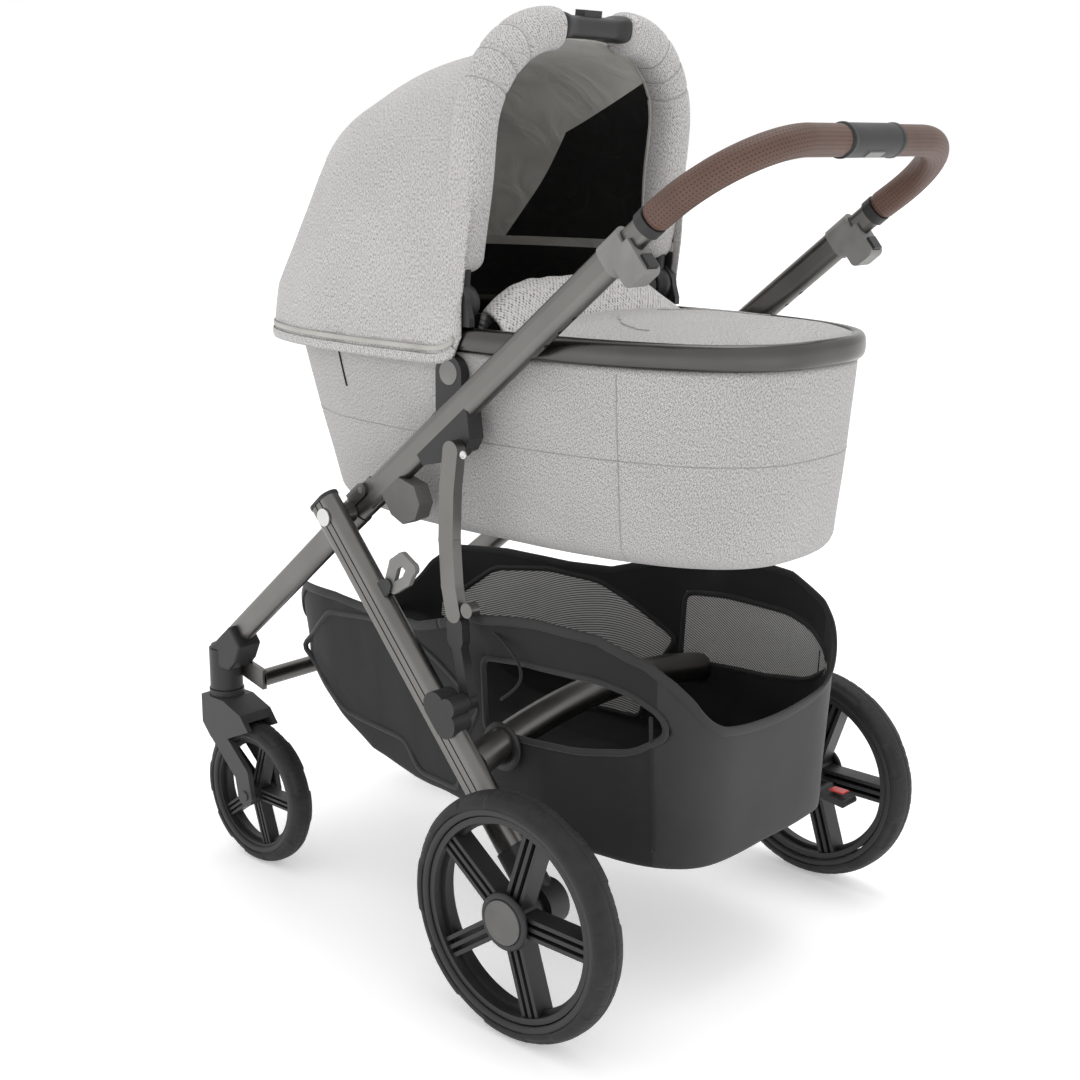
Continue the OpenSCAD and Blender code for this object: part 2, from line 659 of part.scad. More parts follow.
module grip_sleeve() {
    color(black) at_row() {
        at_loop() difference() {
            translate([-sleeve_half, loop_reach, 0]) rotate([0, 90, 0]) cylinder(d = grip_d + 1, h = 2 * sleeve_half);
            translate([-sleeve_half - 1, loop_reach, 0]) rotate([0, 90, 0]) cylinder(d = handle_d, h = 2 * sleeve_half + 2);
            translate([-16, loop_reach - 5, -grip_d / 2 - 2]) cube([32, 10, 8]);
        }
        sides() at_knuckle() translate([frame_half, grip_s - 12.8, 0]) rotate([-90, 0, 0]) difference() {
            cylinder(d = grip_d, h = 11.6);
            translate([0, 0, -1]) cylinder(d = handle_d - 1, h = 20);
        }
    }
}
module detent_buttons() {
    color("silver") at_row() sides() at_knuckle() translate([frame_half, detent_s, 0]) difference() {
        translate([0, 0, -inner_high / 2 - 0.8]) cylinder(d = 4.4, h = 6);
        translate([0, -10, 0]) bar(inner_wide, inner_high, 20);
    }
}
module extend_button() {
    color(grey) at_row() at_loop() translate([-15, loop_reach - 4.4, -grip_d / 2 - 1.5]) cube([30, 8.8, 3.2]);
}

// ---- Bassinet ----
plan_n = 64;
shell_top_half = bassinet_half - 8;
shell_low_half = bassinet_half - 30;
shell_top_long = rim_long - 12;
shell_low_long = rim_long - 58;
function shell_ring(h, inset, z) = plan_ring(
    shell_low_half + (shell_top_half - shell_low_half) * h - inset,
    shell_low_long + (shell_top_long - shell_low_long) * h - inset,
    bassinet_y + 30 * (1 - h), z, plan_n);
module bassinet_shell() {
    deep = rim_up - floor_up;
    color(cloth) at_row() loft([
        shell_ring(0, 24, floor_up), shell_ring(0, 8, floor_up + 5), shell_ring(0.03, 0, floor_up + 20),
        shell_ring(0.5, 0, floor_up + deep / 2), shell_ring(1, 0, rim_up),
        shell_ring(1, shell_wall, rim_up), shell_ring(0.5, shell_wall, floor_up + deep / 2),
        shell_ring(0.05, shell_wall, floor_up + 22), shell_ring(0, shell_wall + 18, floor_up + shell_wall)]);
}
rim_wide = 20;
rim_steps = 8;
module bassinet_rim() {
    ring = [for (k = [0:rim_steps - 1]) let (t = 360 * (k + 0.5) / rim_steps,
        dx = signed_pow(cos(t), 0.7) * rim_wide / 2, dz = signed_pow(sin(t), 0.7) * rim_high / 2,
        f = 1 / pow(pow(cos(45 / 2), 1), 0.35))
        plan_ring(bassinet_half - rim_wide / 2 + dx * f * 0.98, rim_long - rim_wide / 2 + dx * f * 0.98,
            bassinet_y, rim_up + rim_high / 2 + dz * 0.98, plan_n)];
    n = plan_n;
    m = rim_steps;
    color(gunmetal) at_row() polyhedron(points = flat(ring), faces =
        [for (k = [0:m - 1]) for (i = [0:n - 1]) let (k2 = (k + 1) % m)
            [k * n + i, k * n + (i + 1) % n, k2 * n + (i + 1) % n, k2 * n + i]]);
}
mattress_high = 32;
module mattress() {
    color("white") at_row() translate([0, bassinet_y + 26, floor_up + shell_wall + 2])
        linear_extrude(mattress_high) polygon([for (p = plan_ring(shell_low_half - shell_wall - 22,
            shell_low_long - shell_wall - 24, 0, 0, plan_n)) [p[0], p[1]]]);
}
apron_front = bassinet_y + 74;
module rim_inner(gap) {
    polygon([for (p = plan_ring(bassinet_half - rim_wide - gap, rim_long - rim_wide - gap, bassinet_y, 0, plan_n))
        [p[0], p[1]]]);
}
module apron() {
    color(cloth) at_row() translate([0, 0, rim_up + rim_high - 10]) intersection() {
        linear_extrude(10) rim_inner(0.5);
        translate([-300, apron_front, -1]) cube([600, 900, 20]);
    }
}
flap_high = 44;
module wind_flap() {
    color(cloth) at_row() difference() {
        across(-bassinet_half + rim_wide + 30, bassinet_half - rim_wide - 30)
            band([[apron_front - 5, rim_up + rim_high - 4], [apron_front - 22, rim_up + rim_high + flap_high]], 8);
    }
}
plate_wide = 9;
plate_out = bassinet_half - 1;
plate_in = plate_out - plate_wide;
module hub_plates() {
    color(black) at_row() sides() {
        difference() {
            across(plate_in, plate_out) {
                translate([hub_y, hub_up]) circle(r = 25);
                translate([hub_y - 30, rim_up + rim_high - 2]) square([60, 12]);
                polygon([[hub_y - 25, hub_up], [hub_y + 25, hub_up], [hub_y + 30, rim_up + rim_high + 9],
                    [hub_y - 30, rim_up + rim_high + 9]]);
            }
            linear_extrude(rim_up + rim_high + 0.2) square([2000, 2000], center = true);
        }
        pin_x(6, plate_in - 13, plate_in + 1, hub_y, hub_up);
    }
}
adapter_up = rim_up - 58;
module seat_adapters() {
    color(black) at_row() sides() difference() {
        across(shell_top_half - 2, bassinet_half + 3) {
            translate([hub_y, rim_up - 22]) circle(r = 21);
            translate([hub_y - 21, adapter_up - 22]) square([42, 58]);
            translate([hub_y, adapter_up - 22]) circle(r = 21);
        }
        pin_x(14 + slide_fit, bassinet_half - 3, bassinet_half + 5, hub_y, rim_up - 22);
        loft([shell_ring(-0.6, -0.2, floor_up - (rim_up - floor_up) * 0.6), shell_ring(1, -0.2, rim_up + 0.3)]);
    }
}
module release(side) {
    color(grey) at_row() on_side(side) pin_x(14, bassinet_half - 0.4, bassinet_half + 3.4, hub_y, rim_up - 22);
}
module release_left() { release(1); }
module release_right() { release(-1); }

// ---- Canopy ----
bow_wide = 12;
bow_deep = 22;
bow_half = plate_in - 1 - bow_wide / 2;
bow_corner = 120;
handle_open = 56;
pad = 13;
bow_tilt = 6;
module at_bow() {
    at_row() translate([0, hub_y, hub_up]) rotate([-bow_tilt, 0, 0]) translate([0, -hub_y, -hub_up]) children();
}
// An arch over the bassinet at the hub's y, from height z0 above the hub to the crown
module arch_rod(w, d, z0, x_end, inset = 0) {
    translate([0, hub_y, hub_up]) sides() {
        translate([bow_half - inset, 0, z0]) linear_extrude(canopy_high - bow_corner - z0)
            square([w, d], center = true);
        translate([bow_half - bow_corner, 0, canopy_high - bow_corner]) rotate([90, 0, 0])
            rotate_extrude(angle = 90, $fn = 96) translate([bow_corner - inset, 0]) square([w, d], center = true);
        translate([x_end, 0, canopy_high - inset]) rotate([0, 90, 0])
            linear_extrude(bow_half - bow_corner - x_end) square([w, d], center = true);
    }
}
module carry_handle() {
    color(black) at_bow() {
        difference() {
            union() {
                arch_rod(bow_wide, bow_deep, 0, 0);
                sides() pin_x(23, bow_half - bow_wide / 2, bow_half + bow_wide / 2, hub_y, hub_up);
                sides() pin_x(20, bow_half - bow_wide / 2 - 7, bow_half - bow_wide / 2, hub_y, hub_up);
            }
            sides() pin_x(6 + run_fit, bow_half - 20, bow_half + 10, hub_y, hub_up);
            sides() pin_x(14 + slide_fit, bow_half - 30, bow_half - bow_wide / 2, hub_y, hub_up);
            translate([-16, hub_y - 8, hub_up + canopy_high]) cube([32, 16, 20]);
        }
    }
}
roll_d = 48;
module canopy_roll() {
    color(cloth) at_bow() difference() {
        arch_rod(roll_d, roll_d, 40, handle_open, 6);
        arch_rod(bow_wide, bow_deep, 0, 0);
        for (s = [-1, 1]) translate([s * (plate_out + 24), 0, 0])
            linear_extrude(3000) square([40, 3000], center = true);
    }
}
module carry_button() {
    color(black) at_bow() translate([-15.5, hub_y - 7.5, hub_up + canopy_high + 4]) cube([31, 15, 10]);
}
module hub_button(side) {
    color(grey) at_row() on_side(side)
        pin_x(14, bow_half - bow_wide / 2 - 7, bow_half - bow_wide / 2 - 3, hub_y, hub_up);
}
module hub_button_left() { hub_button(1); }
module hub_button_right() { hub_button(-1); }
// Hood: ribs that turn about the hub line from the bow to level, then a skirt below
hood_wall = 4;
hood_cols = 32;
hood_ribs = 10;
skirt = hub_up - rim_up + 14;
hood_nose = rim_long + 10 + hub_y - bassinet_y;
hood_from = 90 - bow_tilt;
function hood_reach(a) = canopy_high - 12
    + (hood_nose - canopy_high + 12) * pow((a - hood_from) / (180 - hood_from), 2);
function hood_rib(a, inset, shift) = [for (j = [0:hood_cols]) let (
    t = 180 * j / hood_cols, p = plan_point(hood_half - inset, hood_reach(a) - inset, t))
    [p[0], hub_y + shift + p[1] * cos(a), hub_up + p[1] * sin(a)]];
function hood_skirt(drop, inset, shift) = [for (j = [0:hood_cols]) let (
    t = 180 * j / hood_cols, p = plan_point(hood_half - inset, hood_nose - inset, t))
    [p[0], hub_y + shift - p[1], hub_up - drop]];
function hood_grid(inset) = concat(
    [for (k = [0:hood_ribs]) hood_rib(hood_from + (180 - hood_from) * k / hood_ribs, inset, -26)],
    [for (d = [0.5, 1]) hood_skirt(d * skirt, inset, -26)]);
module canopy_hood() {
    color(cloth) at_row() thick_sheet(hood_grid(0), hood_grid(hood_wall));
}

rear_leg_left();
rear_leg_right();
rear_leg_caps();
rear_axle_tube();
wheel_mounts();
axle_pins();
strut_brackets();
basket_rear();
basket_front();
frame_lock_hook();
brake_pedal();
front_leg_left();
front_leg_right();
knuckles();
hinge_pins();
front_cross_tube();
caster_sockets();
caster_fork_left();
caster_fork_right();
front_tyre_left();
front_tyre_right();
front_rim_left();
front_rim_right();
rear_tyre_left();
rear_tyre_right();
rear_rim_left();
rear_rim_right();
rear_cap_left();
rear_cap_right();
upper_tube_left();
upper_tube_right();
accessory_sockets();
seat_mounts();
handle_collars();
fold_trigger_left();
fold_trigger_right();
side_strut_left();
side_strut_right();
strut_link_left();
strut_link_right();
handle_bar();
handle_grip();
grip_sleeve();
detent_buttons();
extend_button();
bassinet_shell();
bassinet_rim();
mattress();
apron();
wind_flap();
hub_plates();
seat_adapters();
release_left();
release_right();
carry_handle();
canopy_roll();
canopy_hood();
carry_button();
hub_button_left();
hub_button_right();
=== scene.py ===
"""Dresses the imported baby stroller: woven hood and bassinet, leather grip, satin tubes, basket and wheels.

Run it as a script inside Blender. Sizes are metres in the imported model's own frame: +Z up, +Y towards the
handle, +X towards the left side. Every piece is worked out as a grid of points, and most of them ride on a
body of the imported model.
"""
import json
import math

import bmesh
import bpy
import numpy as np
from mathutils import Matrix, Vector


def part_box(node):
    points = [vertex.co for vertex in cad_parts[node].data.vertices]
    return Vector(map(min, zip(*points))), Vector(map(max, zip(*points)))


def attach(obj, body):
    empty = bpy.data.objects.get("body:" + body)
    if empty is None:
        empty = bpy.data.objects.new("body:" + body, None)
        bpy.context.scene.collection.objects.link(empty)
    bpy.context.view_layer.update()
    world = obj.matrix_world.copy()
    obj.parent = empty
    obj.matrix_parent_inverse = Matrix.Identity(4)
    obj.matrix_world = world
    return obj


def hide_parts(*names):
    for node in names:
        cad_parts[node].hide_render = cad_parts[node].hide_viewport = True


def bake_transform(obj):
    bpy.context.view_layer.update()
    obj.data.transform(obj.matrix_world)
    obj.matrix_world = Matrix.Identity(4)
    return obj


bl_info = {
    "name": "Baby stroller",
    "version": (1, 0, 0),
    "blender": (4, 5, 0),
    "location": "View3D > Sidebar > Stroller",
    "description": "Builds the cloth, leather, metal and rubber of a baby stroller round its packed frame",
    "category": "Add Mesh",
}

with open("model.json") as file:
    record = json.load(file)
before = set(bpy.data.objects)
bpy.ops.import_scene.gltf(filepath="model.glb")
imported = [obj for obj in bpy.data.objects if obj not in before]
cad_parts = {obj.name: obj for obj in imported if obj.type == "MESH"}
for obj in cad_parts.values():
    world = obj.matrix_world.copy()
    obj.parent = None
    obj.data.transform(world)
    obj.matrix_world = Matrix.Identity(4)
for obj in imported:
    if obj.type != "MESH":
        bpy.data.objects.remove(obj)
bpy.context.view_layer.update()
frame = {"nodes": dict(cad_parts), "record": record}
JOINTS = {j["name"]: j for j in frame["record"]["behaviour"]["joints"]}


def pivot(joint):
    """A joint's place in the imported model."""
    return np.array(JOINTS[joint]["pos_m"])


def box(name):
    """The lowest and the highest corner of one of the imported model's pieces."""
    low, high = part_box(name)
    return np.array(low), np.array(high)


AXLE = pivot("rear_spin_left")
HUB = pivot("canopy_swing")
LOOP_UP = np.array(JOINTS["handle_button_press"]["axis"])
LOOP_ALONG = np.array([0.0, LOOP_UP[2], -LOOP_UP[1]])
RIM_LOW, RIM_HIGH = box("bassinet_rim")
RIM_MID = (RIM_LOW + RIM_HIGH) / 2
TUBE_X = sum(p[0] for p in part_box("upper_tube_left")) / 2
SIDES = ((1, "left"), (-1, "right"))
PLAN_POWER = 2.8
MERGE = 1e-5


# ---- Shapes ----


def superellipse(half_x, half_y, power, turn):
    """Points of |x/a|^p + |y/b|^p = 1 at the angles of turn."""
    c, s = np.cos(turn), np.sin(turn)
    x = half_x * np.sign(c) * np.abs(c) ** (2 / power)
    y = half_y * np.sign(s) * np.abs(s) ** (2 / power)
    return np.stack([x, y], -1)


def evenly(points, count, closed=False):
    """The same line with count points at equal steps of its length."""
    if closed:
        points = np.vstack([points, points[:1]])
    step = np.linalg.norm(np.diff(points, axis=0), axis=1)
    at = np.r_[0, np.cumsum(step)]
    want = np.linspace(0, at[-1], count + 1)[:-1] if closed else np.linspace(0, at[-1], count)
    return np.stack([np.interp(want, at, points[:, k]) for k in range(points.shape[1])], -1)


def rounded(points, count, reach=0.04):
    """A smooth line through the corners of points: each corner becomes a quadratic arc that starts and ends
    at most reach from it."""
    points = np.array(points, float)
    line = [points[0]]
    t = np.linspace(0, 1, 9)[:, None]
    for before, corner, after in zip(points[:-2], points[1:-1], points[2:]):
        a, b = before - corner, after - corner
        ra = min(reach, np.linalg.norm(a) * 0.49) / np.linalg.norm(a)
        rb = min(reach, np.linalg.norm(b) * 0.49) / np.linalg.norm(b)
        start, end = corner + a * ra, corner + b * rb
        line.extend((1 - t) ** 2 * start + 2 * t * (1 - t) * corner + t**2 * end)
    line.append(points[-1])
    return evenly(np.array(line), count)


def smoothstep(x, low, high):
    """0 below low, 1 above high, and 3t^2 - 2t^3 between them."""
    t = np.clip((x - low) / (high - low), 0, 1)
    return t * t * (3 - 2 * t)


def wrinkles(x, y, seed, scale=1.0):
    """A smooth field between about -1 and 1: a sum of sine waves, each with a direction and phase drawn from
    seed."""
    random = np.random.default_rng(seed)
    total = np.zeros_like(x)
    for k in range(1, 7):
        turn, phase = random.uniform(0, 2 * math.pi, 2)
        pitch = scale * 0.11 / k**0.8
        total += np.sin(2 * math.pi * (x * math.cos(turn) + y * math.sin(turn)) / pitch + phase) / k**0.7
    return total / 2.6


def metric(points, closed):
    """UV in metres: u is the length run along each row and v along each column."""
    rows, cols = closed
    p = np.concatenate([points, points[:, :1]], 1) if cols else points
    p = np.concatenate([p, p[:1]], 0) if rows else p
    u = np.linalg.norm(np.diff(p, axis=1), axis=2).cumsum(1)
    v = np.linalg.norm(np.diff(p, axis=0), axis=2).cumsum(0)
    u = np.concatenate([np.zeros_like(u[:, :1]), u], 1)
    v = np.concatenate([np.zeros_like(v[:1]), v], 0)
    return np.stack([u - u[:, -1:] / 2, v], -1)


def surface(name, points, material, closed=(False, False), capped=False, uv=None, flip=False, keep=None):
    """A mesh over a grid of points, rows by columns. closed joins the last row or column to the first, capped
    fills the first and last rows, flip turns the faces round, keep leaves out the faces where it is False,
    and uv is per grid point."""
    rows, cols = points.shape[:2]
    i = np.arange(rows if closed[0] else rows - 1)
    j = np.arange(cols if closed[1] else cols - 1)
    i, j = (a.ravel() for a in np.meshgrid(i, j, indexing="ij"))
    i2, j2 = (i + 1) % rows, (j + 1) % cols
    quads = np.stack([i * cols + j, i * cols + j2, i2 * cols + j2, i2 * cols + j], -1)
    uv = metric(points, closed) if uv is None else uv
    at = np.stack([uv[i, j], uv[i, j + 1], uv[i + 1, j + 1], uv[i + 1, j]], 1)
    if keep is not None:
        chosen = keep[i, j]
        quads, at = quads[chosen], at[chosen]
    faces = quads.tolist()
    loops = at.reshape(-1, 2)
    if capped:
        first, last = list(range(cols)), list(range((rows - 1) * cols, rows * cols))
        faces += [first[::-1], last]
        ends = np.concatenate([points[0, ::-1, :2], points[-1, :, :2]])
        loops = np.concatenate([loops, ends])
    mesh = bpy.data.meshes.new(name)
    mesh.from_pydata(points.reshape(-1, 3).tolist(), [], faces)
    layer = mesh.uv_layers.new(name="UVMap")
    layer.data.foreach_set("uv", loops.ravel().astype(np.float32))
    mesh.polygons.foreach_set("use_smooth", np.ones(len(faces), bool))
    mesh.materials.append(material)
    if flip:
        mesh.flip_normals()
    mesh.update()
    obj = bpy.data.objects.new(name, mesh)
    bpy.context.scene.collection.objects.link(obj)
    return obj


def profile(half_wide, half_high, count=24, power=2.6):
    """A rounded section to carry along a path."""
    return superellipse(half_wide, half_high, power, np.arange(count) * 2 * math.pi / count)


def along_path(path, section, side):
    """The section carried along path: its first axis stays along side, as near as it can while square to the
    path, and its second stands square to both."""
    path = np.asarray(path, float)
    step = np.gradient(path, axis=0)
    step /= np.linalg.norm(step, axis=1)[:, None]
    side = np.broadcast_to(np.asarray(side, float), path.shape)
    side = side - step * np.sum(side * step, 1)[:, None]
    side /= np.linalg.norm(side, axis=1)[:, None]
    up = np.cross(side, step)
    section = np.broadcast_to(section, (len(path),) + section.shape[-2:])
    return path[:, None] + section[..., :1] * side[:, None] + section[..., 1:] * up[:, None]


def tube(name, path, section, side, material):
    """A solid bar: the section carried along path, with both ends closed."""
    return surface(name, along_path(path, section, side), material, (False, True), True)


def cord_along(name, path, radius, material, side=(0, 0, 1), count=10, flat=1.0):
    """A round or flattened bead of that radius along a path."""
    return tube(name, path, profile(radius * flat, radius, count, 2.0), side, material)


def cross_sleeve(name, half_long, count, middle, section, swell, side):
    """A black sleeve across the model: the section carried along x through middle. swell gives the share it
    grows by, and the two distances from its middle between which it grows."""
    x = np.linspace(-half_long, half_long, count)
    share, begins, ends = swell
    grow = 1 + share * smoothstep(np.abs(x), begins, ends)
    path = np.stack([x, 0 * x + middle[1], 0 * x + middle[2]], -1)
    made = tube(name, path, section[None] * grow[:, None, None], side, finish("Black plastic"))
    fix_normals(made)
    return made


def lathe(name, outline, centre, material, count=96, ring=False):
    """The outline of (x, radius) pairs turned about the line through centre along x. A ring's outline is
    closed on itself, and a solid's ends are capped."""
    turn = np.arange(count) * 2 * math.pi / count
    outline = np.array(outline, float)
    points = np.zeros((len(outline), count, 3))
    points[..., 0] = outline[:, :1]
    points[..., 1] = outline[:, 1:] * np.cos(turn)
    points[..., 2] = outline[:, 1:] * np.sin(turn)
    made = surface(name, points + np.asarray(centre), material, (ring, True), not ring, flip=True)
    fix_normals(made)
    return made


def block(name, outline, x0, x1, material, bevel=0.002):
    """A plate: the outline in (y, z) carried across x from x0 to x1, with its edges rounded."""
    outline = np.array(outline, float)
    points = np.zeros((2, len(outline), 3))
    points[..., 1:] = outline
    points[0, :, 0], points[1, :, 0] = x0, x1
    obj = surface(name, points, material, (False, True), True)
    fix_normals(obj)
    obj.data.polygons.foreach_set("use_smooth", np.zeros(len(obj.data.polygons), bool))
    rounded_edges(obj, bevel)
    return obj


def fix_normals(obj, merged=False):
    """Turns every face outwards, once points that share a place are joined if merged is given."""
    mesh = bmesh.new()
    mesh.from_mesh(obj.data)
    if merged:
        bmesh.ops.remove_doubles(mesh, verts=mesh.verts, dist=MERGE)
    bmesh.ops.recalc_face_normals(mesh, faces=mesh.faces)
    mesh.to_mesh(obj.data)
    mesh.free()


def rounded_edges(obj, width, segments=2):
    """Bevels the piece's sharp edges."""
    bevel = obj.modifiers.new("edges", "BEVEL")
    bevel.width, bevel.segments, bevel.limit_method = width, segments, "ANGLE"
    bevel.harden_normals = False


def wall(obj, thickness):
    """Gives a sheet its thickness, on the inner side."""
    solid = obj.modifiers.new("wall", "SOLIDIFY")
    solid.thickness = thickness
    solid.offset = -1


# ---- Materials ----


def node(tree, kind, inputs=None, **settings):
    """Adds a shader node with its settings, and links or sets its inputs."""
    made = tree.nodes.new("ShaderNode" + kind)
    for key, value in settings.items():
        setattr(made, key, value)
    for key, value in (inputs or {}).items():
        if isinstance(value, bpy.types.NodeSocket):
            tree.links.new(value, made.inputs[key])
        else:
            made.inputs[key].default_value = value
    return made


def start(name, roughness, metallic=0.0, **sockets):
    """A new material's nodes and its shader, whose even values are set on the shader's own sockets."""
    material = bpy.data.materials.new(name)
    material.use_nodes = True
    shader = material.node_tree.nodes["Principled BSDF"]
    shader.inputs["Roughness"].default_value = roughness
    shader.inputs["Metallic"].default_value = metallic
    for key, value in sockets.items():
        shader.inputs[key.replace("_", " ")].default_value = value
    return material.node_tree, shader


def coordinates(tree, kind, scale):
    """Object or UV coordinates times scale, which is one number or one along each axis."""
    texture = node(tree, "TexCoord")
    scale = scale if isinstance(scale, tuple) else (scale, scale, scale)
    return node(tree, "Mapping", {"Vector": texture.outputs[kind], "Scale": scale}).outputs[0]


def noise(tree, kind, scale, settings=None, **inputs):
    """A cloudy grey on the coordinates times scale."""
    inputs = {"Vector": coordinates(tree, kind, scale), "Scale": 1.0, **inputs}
    return node(tree, "TexNoise", inputs, **(settings or {})).outputs[0]


def cells(tree, kind, scale, randomness=1.0, **settings):
    """Distance from the middle, or from the edge, of cells on the coordinates times scale."""
    inputs = {"Vector": coordinates(tree, kind, scale), "Scale": 1.0, "Randomness": randomness}
    return node(tree, "TexVoronoi", inputs, **settings).outputs[0]


def math_node(tree, operation, a, b=0.0, c=0.0):
    """One sum on sockets or numbers."""
    return node(tree, "Math", {0: a, 1: b, 2: c}, operation=operation).outputs[0]


def wave(tree, along, repeats):
    """A sine along a coordinate that repeats so many times in a metre."""
    return math_node(tree, "SINE", math_node(tree, "MULTIPLY", along, 2 * math.pi * repeats))


def ramp(tree, factor, stops):
    """Colours by factor; stops are (place, grey or colour)."""
    made = node(tree, "ValToRGB", {"Fac": factor})
    while len(made.color_ramp.elements) < len(stops):
        made.color_ramp.elements.new(0.5)
    for element, (place, colour) in zip(made.color_ramp.elements, stops):
        element.position = place
        element.color = (*colour, 1) if hasattr(colour, "__len__") else (colour, colour, colour, 1)
    return made.outputs[0]


def tint(colour, amount):
    """The colour made lighter or darker by a share."""
    return tuple(min(1.0, c * (1 + amount)) for c in colour)


def mottled(tree, factor, colour, down, up):
    """The colour, darker by the share down where factor is low and lighter by the share up where it is
    high."""
    return ramp(tree, factor, [(0.3, tint(colour, -down)), (0.7, tint(colour, up))])


def mixed(tree, factor, low, high, **settings):
    """The colour low where factor is 0 and high where it is 1."""
    return node(tree, "Mix", {0: factor, 6: low, 7: high}, data_type="RGBA", **settings).outputs[2]


def paint(tree, shader, colour):
    """Links a colour to the shader."""
    tree.links.new(colour, shader.inputs["Base Color"])


def polish(tree, shader, factor, low, high):
    """Roughness that goes from low to high with factor."""
    made = node(tree, "MapRange", {"Value": factor, 1: 0.3, 2: 0.7, 3: low, 4: high})
    tree.links.new(made.outputs[0], shader.inputs["Roughness"])


def relief(tree, shader, height, distance, strength=1.0, under=None):
    """Bump from height, over another bump if one is given."""
    inputs = {"Height": height, "Distance": distance, "Strength": strength}
    if under is not None:
        inputs["Normal"] = under
    made = node(tree, "Bump", inputs)
    tree.links.new(made.outputs[0], shader.inputs["Normal"])
    return made.outputs[0]


def satin_metal(name, colour, roughness=0.34):
    """Anodised tube: metal with a fine grain, and roughness that wanders a little."""
    tree, shader = start(name, roughness, 1.0)
    fine = noise(tree, "Object", 900)
    broad = noise(tree, "Object", 14)
    paint(tree, shader, mottled(tree, broad, colour, 0.08, 0.08))
    polish(tree, shader, broad, roughness - 0.03, roughness + 0.05)
    relief(tree, shader, fine, 0.00003)


def moulded(name, colour, roughness=0.5):
    """Moulded plastic: fine pebbled grain, and a colour that wanders a little."""
    tree, shader = start(name, roughness, 0.0, Specular_IOR_Level=0.4)
    pebbles = cells(tree, "Object", 1100)
    broad = noise(tree, "Object", 25)
    paint(tree, shader, mottled(tree, broad, colour, 0.15, 0.15))
    polish(tree, shader, broad, roughness - 0.05, roughness + 0.06)
    relief(tree, shader, pebbles, 0.00008)


def tyre_rubber(name, colour):
    """Tyre foam rubber: dull, with a fine skin and slight scuffs."""
    tree, shader = start(name, 0.62, 0.0, Specular_IOR_Level=0.35)
    fine = noise(tree, "Object", 700, Detail=4.0)
    scuff = noise(tree, "Object", 40, Detail=6.0)
    paint(tree, shader, ramp(tree, scuff, [(0.35, colour), (0.75, tint(colour, 0.7))]))
    relief(tree, shader, fine, 0.00015)


def grip_leather(name, colour, pitch=0.0042):
    """Leather: creased grain, rows of pin-pricked holes on the wrap's own UV, painted much darker as shade
    inside them, and worn lighter patches.
    """
    tree, shader = start(name, 0.5, 0.0, Specular_IOR_Level=0.45)
    grain = cells(tree, "Object", 620, feature="DISTANCE_TO_EDGE")
    worn = noise(tree, "Object", 22, Detail=5.0)
    dots = cells(tree, "UV", (1 / pitch, 1 / pitch, 1), 0.0, voronoi_dimensions="2D")
    hole_and_shade = ramp(tree, dots, [(0.16, 0.0), (0.26, 1.0)])
    skin = mottled(tree, worn, colour, 0.12, 0.18)
    # Painted shade: inside the holes the colour is the leather made much darker, as shade in the recess.
    paint(tree, shader, mixed(tree, hole_and_shade, (*tint(colour, -0.6), 1), skin))
    first = relief(tree, shader, ramp(tree, grain, [(0.0, 0.0), (0.25, 1.0)]), 0.00012, 0.7)
    relief(tree, shader, hole_and_shade, 0.0004, 0.8, first)


def melange(name, light, dark, pitch, roughness=0.9, contrast=1.0):
    """Woven cloth of mixed yarn: sines along u and v times each other give light yarns with dark gaps between
    them, and flecks that are longer one way than the other shade the yarns."""
    tree, shader = start(name, roughness, 0.0, Sheen_Weight=0.15, Sheen_Roughness=0.5, Specular_IOR_Level=0.2)
    repeats = 1 / pitch
    parts = node(tree, "SeparateXYZ", {0: node(tree, "TexCoord").outputs["UV"]})
    across = wave(tree, parts.outputs[0], repeats)
    up = wave(tree, parts.outputs[1], repeats * 0.8)
    gaps = math_node(tree, "MULTIPLY_ADD", math_node(tree, "MULTIPLY", across, up), 0.5, 0.5)
    flecks = noise(tree, "UV", (repeats * 1.9, repeats * 0.9, 1), {"noise_dimensions": "2D"}, Detail=2.0)
    yarn = math_node(tree, "MULTIPLY_ADD", gaps, 0.42 * contrast, math_node(tree, "MULTIPLY", flecks, 1.15))
    woven = ramp(tree, yarn, [(0.48, dark), (0.72, tint(light, -0.3)), (0.95, light)])
    cloud = noise(tree, "UV", (9, 9, 1))
    veil = ramp(tree, cloud, [(0.3, 0.93), (0.7, 1.0)])
    paint(tree, shader, mixed(tree, 1.0, woven, veil, blend_type="MULTIPLY"))
    relief(tree, shader, yarn, 0.0005, 0.6)


def plain_cloth(name, colour, pitch=0.0014, roughness=0.8, crease=0.0006):
    """Tightly woven cloth: a fine square weave with soft creases, with painted shade: darker in the creases'
    troughs and lighter on their ridges.
    """
    tree, shader = start(name, roughness, 0.0, Sheen_Weight=0.1, Specular_IOR_Level=0.3)
    weave = cells(tree, "UV", (1 / pitch, 1 / pitch, 1), 0.15, voronoi_dimensions="2D")
    folds = noise(tree, "Object", 16, Detail=3.0, Distortion=0.6)
    # Painted shade: the fold noise that bumps the creases also makes the colour darker in their troughs and
    # lighter on their ridges.
    paint(tree, shader, mottled(tree, folds, colour, 0.12, 0.15))
    first = relief(tree, shader, folds, crease, 0.8)
    relief(tree, shader, weave, 0.00015, 0.5, first)


